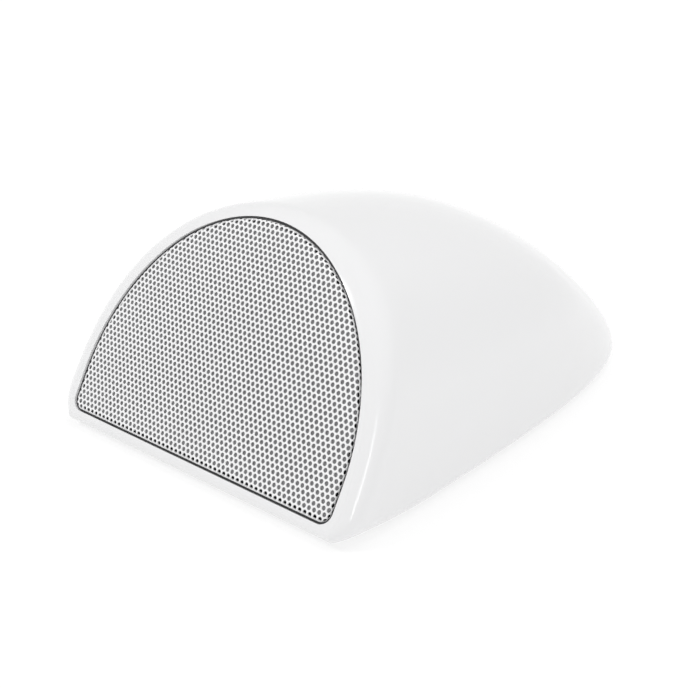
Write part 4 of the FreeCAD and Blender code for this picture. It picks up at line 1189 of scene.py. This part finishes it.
# --- inside and underneath ------------
@dataclass
class Wadding(Assembly):
    """Lofted fibre block under the roof."""

    voxel: float = 3.5
    smoothing: int = 6
    seed: int = 11
    waves: int = 14
    wave_range: Pair = (180.0, 620.0)
    swell: float = 3.12
    shrink: float = 0.975
    inset: float = 0.2

    def _evened(self) -> bpy.types.Mesh:
        """Remesh and smooth a copy of the CAD block.

        Returns:
            The evened mesh.
        """
        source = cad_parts["acoustic_wadding"]
        block = bpy.data.objects.new("wadding_block", source.data.copy())
        bpy.context.scene.collection.objects.link(block)
        remesh = block.modifiers.new("even", "REMESH")
        remesh.mode = "VOXEL"
        remesh.voxel_size = self.voxel * MM
        block.modifiers.new("soft", "SMOOTH").iterations = self.smoothing
        depsgraph = bpy.context.evaluated_depsgraph_get()
        mesh = bpy.data.meshes.new_from_object(block.evaluated_get(depsgraph))
        bpy.data.objects.remove(block)
        return mesh

    def shape(self) -> list[Piece]:
        """Loft the block's surface and hide its CAD node.

        Returns:
            The wadding.
        """
        mesh = self._evened()
        points = np.array([tuple(v.co) for v in mesh.vertices])
        normals = np.array([tuple(v.normal) for v in mesh.vertices])
        rng = np.random.default_rng(self.seed)
        size = (self.waves, 3)
        waves = rng.uniform(*self.wave_range, size) * rng.choice((-1.0, 1.0), size)
        phases = rng.uniform(0.0, math.tau, self.waves)
        lift = np.sin(points @ waves.T + phases).mean(1) * self.swell - self.shrink
        points = points + normals * (lift * MM)[:, None]
        low, high = (np.array(corner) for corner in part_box("acoustic_wadding"))
        points = np.clip(points, low + self.inset * MM, high - self.inset * MM)
        faces = [tuple(p.vertices) for p in mesh.polygons]
        obj = self.piece("wadding_fill", points, faces, FIBRE, "wadding", 80.0)
        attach(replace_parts(obj, "acoustic_wadding"), "speaker")
        return [obj]


@dataclass
class Base(Assembly):
    """Plate, feet and screws underneath."""

    finishes = {"base_plate": BASE_GREY, "base_screws": SCREW_ZINC, "rubber_feet": RUBBER}


@dataclass
class Electronics(Assembly):
    """Main board and what stands on it."""

    finishes = {"main_board": BOARD, "shield_can": TIN, "heat_sink": EXTRUSION,
                "bulk_capacitors": SLEEVE, "power_inductors": CHIP, "board_chips": CHIP,
                "board_connectors": NYLON, "board_screws": SCREW_ZINC, "wifi_antennas": FILM}


@dataclass
class PortBay(Assembly):
    """Bay in the tail with the inlet, the button and the slider."""

    finishes = {"port_tub": BASE_GREY, "port_board": PORT_BOARD,
                "port_board_screws": SCREW_ZINC, "dc_jack": FRAME_BLACK, "dc_jack_pin": BRASS,
                "pairing_button": BUTTON_WHITE, "pairing_switch": CHIP,
                "mute_slider": FRAME_BLACK, "mute_switch": CHIP, "port_screws": SCREW_ZINC,
                "port_leads": PORT_WIRE}


# --- studio ------------
@dataclass(frozen=True)
class Softbox:
    """A flat light aimed at the speaker, in metres and watts, that gloss may leave out."""

    name: str
    place: Triple
    size: Pair
    power: float
    mirrored: bool = True
    aim: Triple = (0.0, 0.0, 0.04)

    def build(self) -> None:
        """Hang the light."""
        lamp = bpy.data.lights.new(self.name, "AREA")
        lamp.shape = "ELLIPSE"
        lamp.size, lamp.size_y = self.size
        lamp.energy = self.power
        obj = bpy.data.objects.new(self.name, lamp)
        obj.location = self.place
        obj.visible_glossy = self.mirrored
        obj.rotation_mode = "QUATERNION"
        toward = Vector(self.aim) - Vector(self.place)
        obj.rotation_quaternion = toward.to_track_quat("-Z", "Y")
        bpy.context.scene.collection.objects.link(obj)


@dataclass
class Studio:
    """Pale table, soft light and the camera, in metres."""

    lights: tuple[Softbox, ...] = (
        Softbox("overhead_box", (0.2, 0.3, 1.1), (1.4, 1.4), 6.1, False),
        Softbox("key_box", (-0.45, -0.6, 0.85), (0.3, 0.3), 2.8),
        Softbox("right_strip", (0.74, -0.74, 0.3), (0.16, 0.9), 1.4),
    )
    air: Pair = (1.0, 0.6)
    fade: float = 0.5
    half: float = 4.0
    cuts: int = 8
    place: Triple = (0.24934, -0.31972, 0.19193)
    right: Triple = (0.76134, 0.64811, 0.0175)
    upward: Triple = (-0.30839, 0.33826, 0.88909)
    forward: Triple = (-0.57031, 0.68229, -0.45741)
    sensor: float = 36.0
    lens: float = 61.946
    rise_shift: float = 0.11532
    clip: Pair = (0.01, 50.0)

    def _table(self) -> None:
        """Wide floor in a grid of squares."""
        ticks = np.linspace(-self.half, self.half, self.cuts + 1)
        points = [(x, y, 0.0) for y in ticks for x in ticks]
        row = self.cuts + 1
        corners = [low * row + column for low in range(self.cuts) for column in range(self.cuts)]
        faces = [(n, n + 1, n + row + 1, n + row) for n in corners]
        mesh = bpy.data.meshes.new("studio_table")
        mesh.from_pydata(points, [], faces)
        mesh.materials.append(FLOOR.material())
        table = bpy.data.objects.new("studio_table", mesh)
        bpy.context.scene.collection.objects.link(table)

    def _air(self) -> None:
        """White tent that is brightest at the horizon."""
        world = bpy.data.worlds.new("studio_air")
        world.use_nodes = True
        book = NodeBook(world.node_tree)
        glow = book.mapped(book.axes("Generated")[2], (0.0, self.fade), self.air)
        sky = book.add("ShaderNodeBackground", {"Color": glow})
        book.add("ShaderNodeOutputWorld", {"Surface": sky})
        bpy.context.scene.world = world

    def _camera(self) -> None:
        """Camera at the product shot's angle."""
        data = bpy.data.cameras.new("product_camera")
        data.sensor_width = self.sensor
        data.lens = self.lens
        data.shift_y = self.rise_shift
        data.clip_start, data.clip_end = self.clip
        camera = bpy.data.objects.new("product_camera", data)
        columns = [Vector(self.right), Vector(self.upward), -Vector(self.forward)]
        turn = Matrix([[column[axis] for column in columns] for axis in range(3)]).to_4x4()
        camera.matrix_world = Matrix.Translation(self.place) @ turn
        bpy.context.scene.collection.objects.link(camera)
        bpy.context.scene.camera = camera

    def build(self) -> None:
        """Set up the studio."""
        bpy.context.scene.view_settings.view_transform = "Standard"
        self._table()
        self._air()
        for light in self.lights:
            light.build()
        self._camera()


def main() -> None:
    """Build every sub-assembly in order, then the studio."""
    logging.basicConfig(level=logging.INFO, format="%(name)s: %(message)s")
    plane = FrontPlane.from_frame()
    LOG.info("front foot line at y %.3f, z %.3f", plane.foot_y, plane.foot_z)
    for kind in (Housing, Grille, Scrim, FoamSeal, FrontStack, Driver, Wadding, Base,
                 Electronics, PortBay):
        for obj in kind(plane).build():
            LOG.info("%s: %s, %d faces", kind.__name__, obj.name, len(obj.data.polygons))
    Studio().build()
    LOG.info("studio set up")
    bpy.context.view_layer.update()


if __name__ == "__main__":
    main()
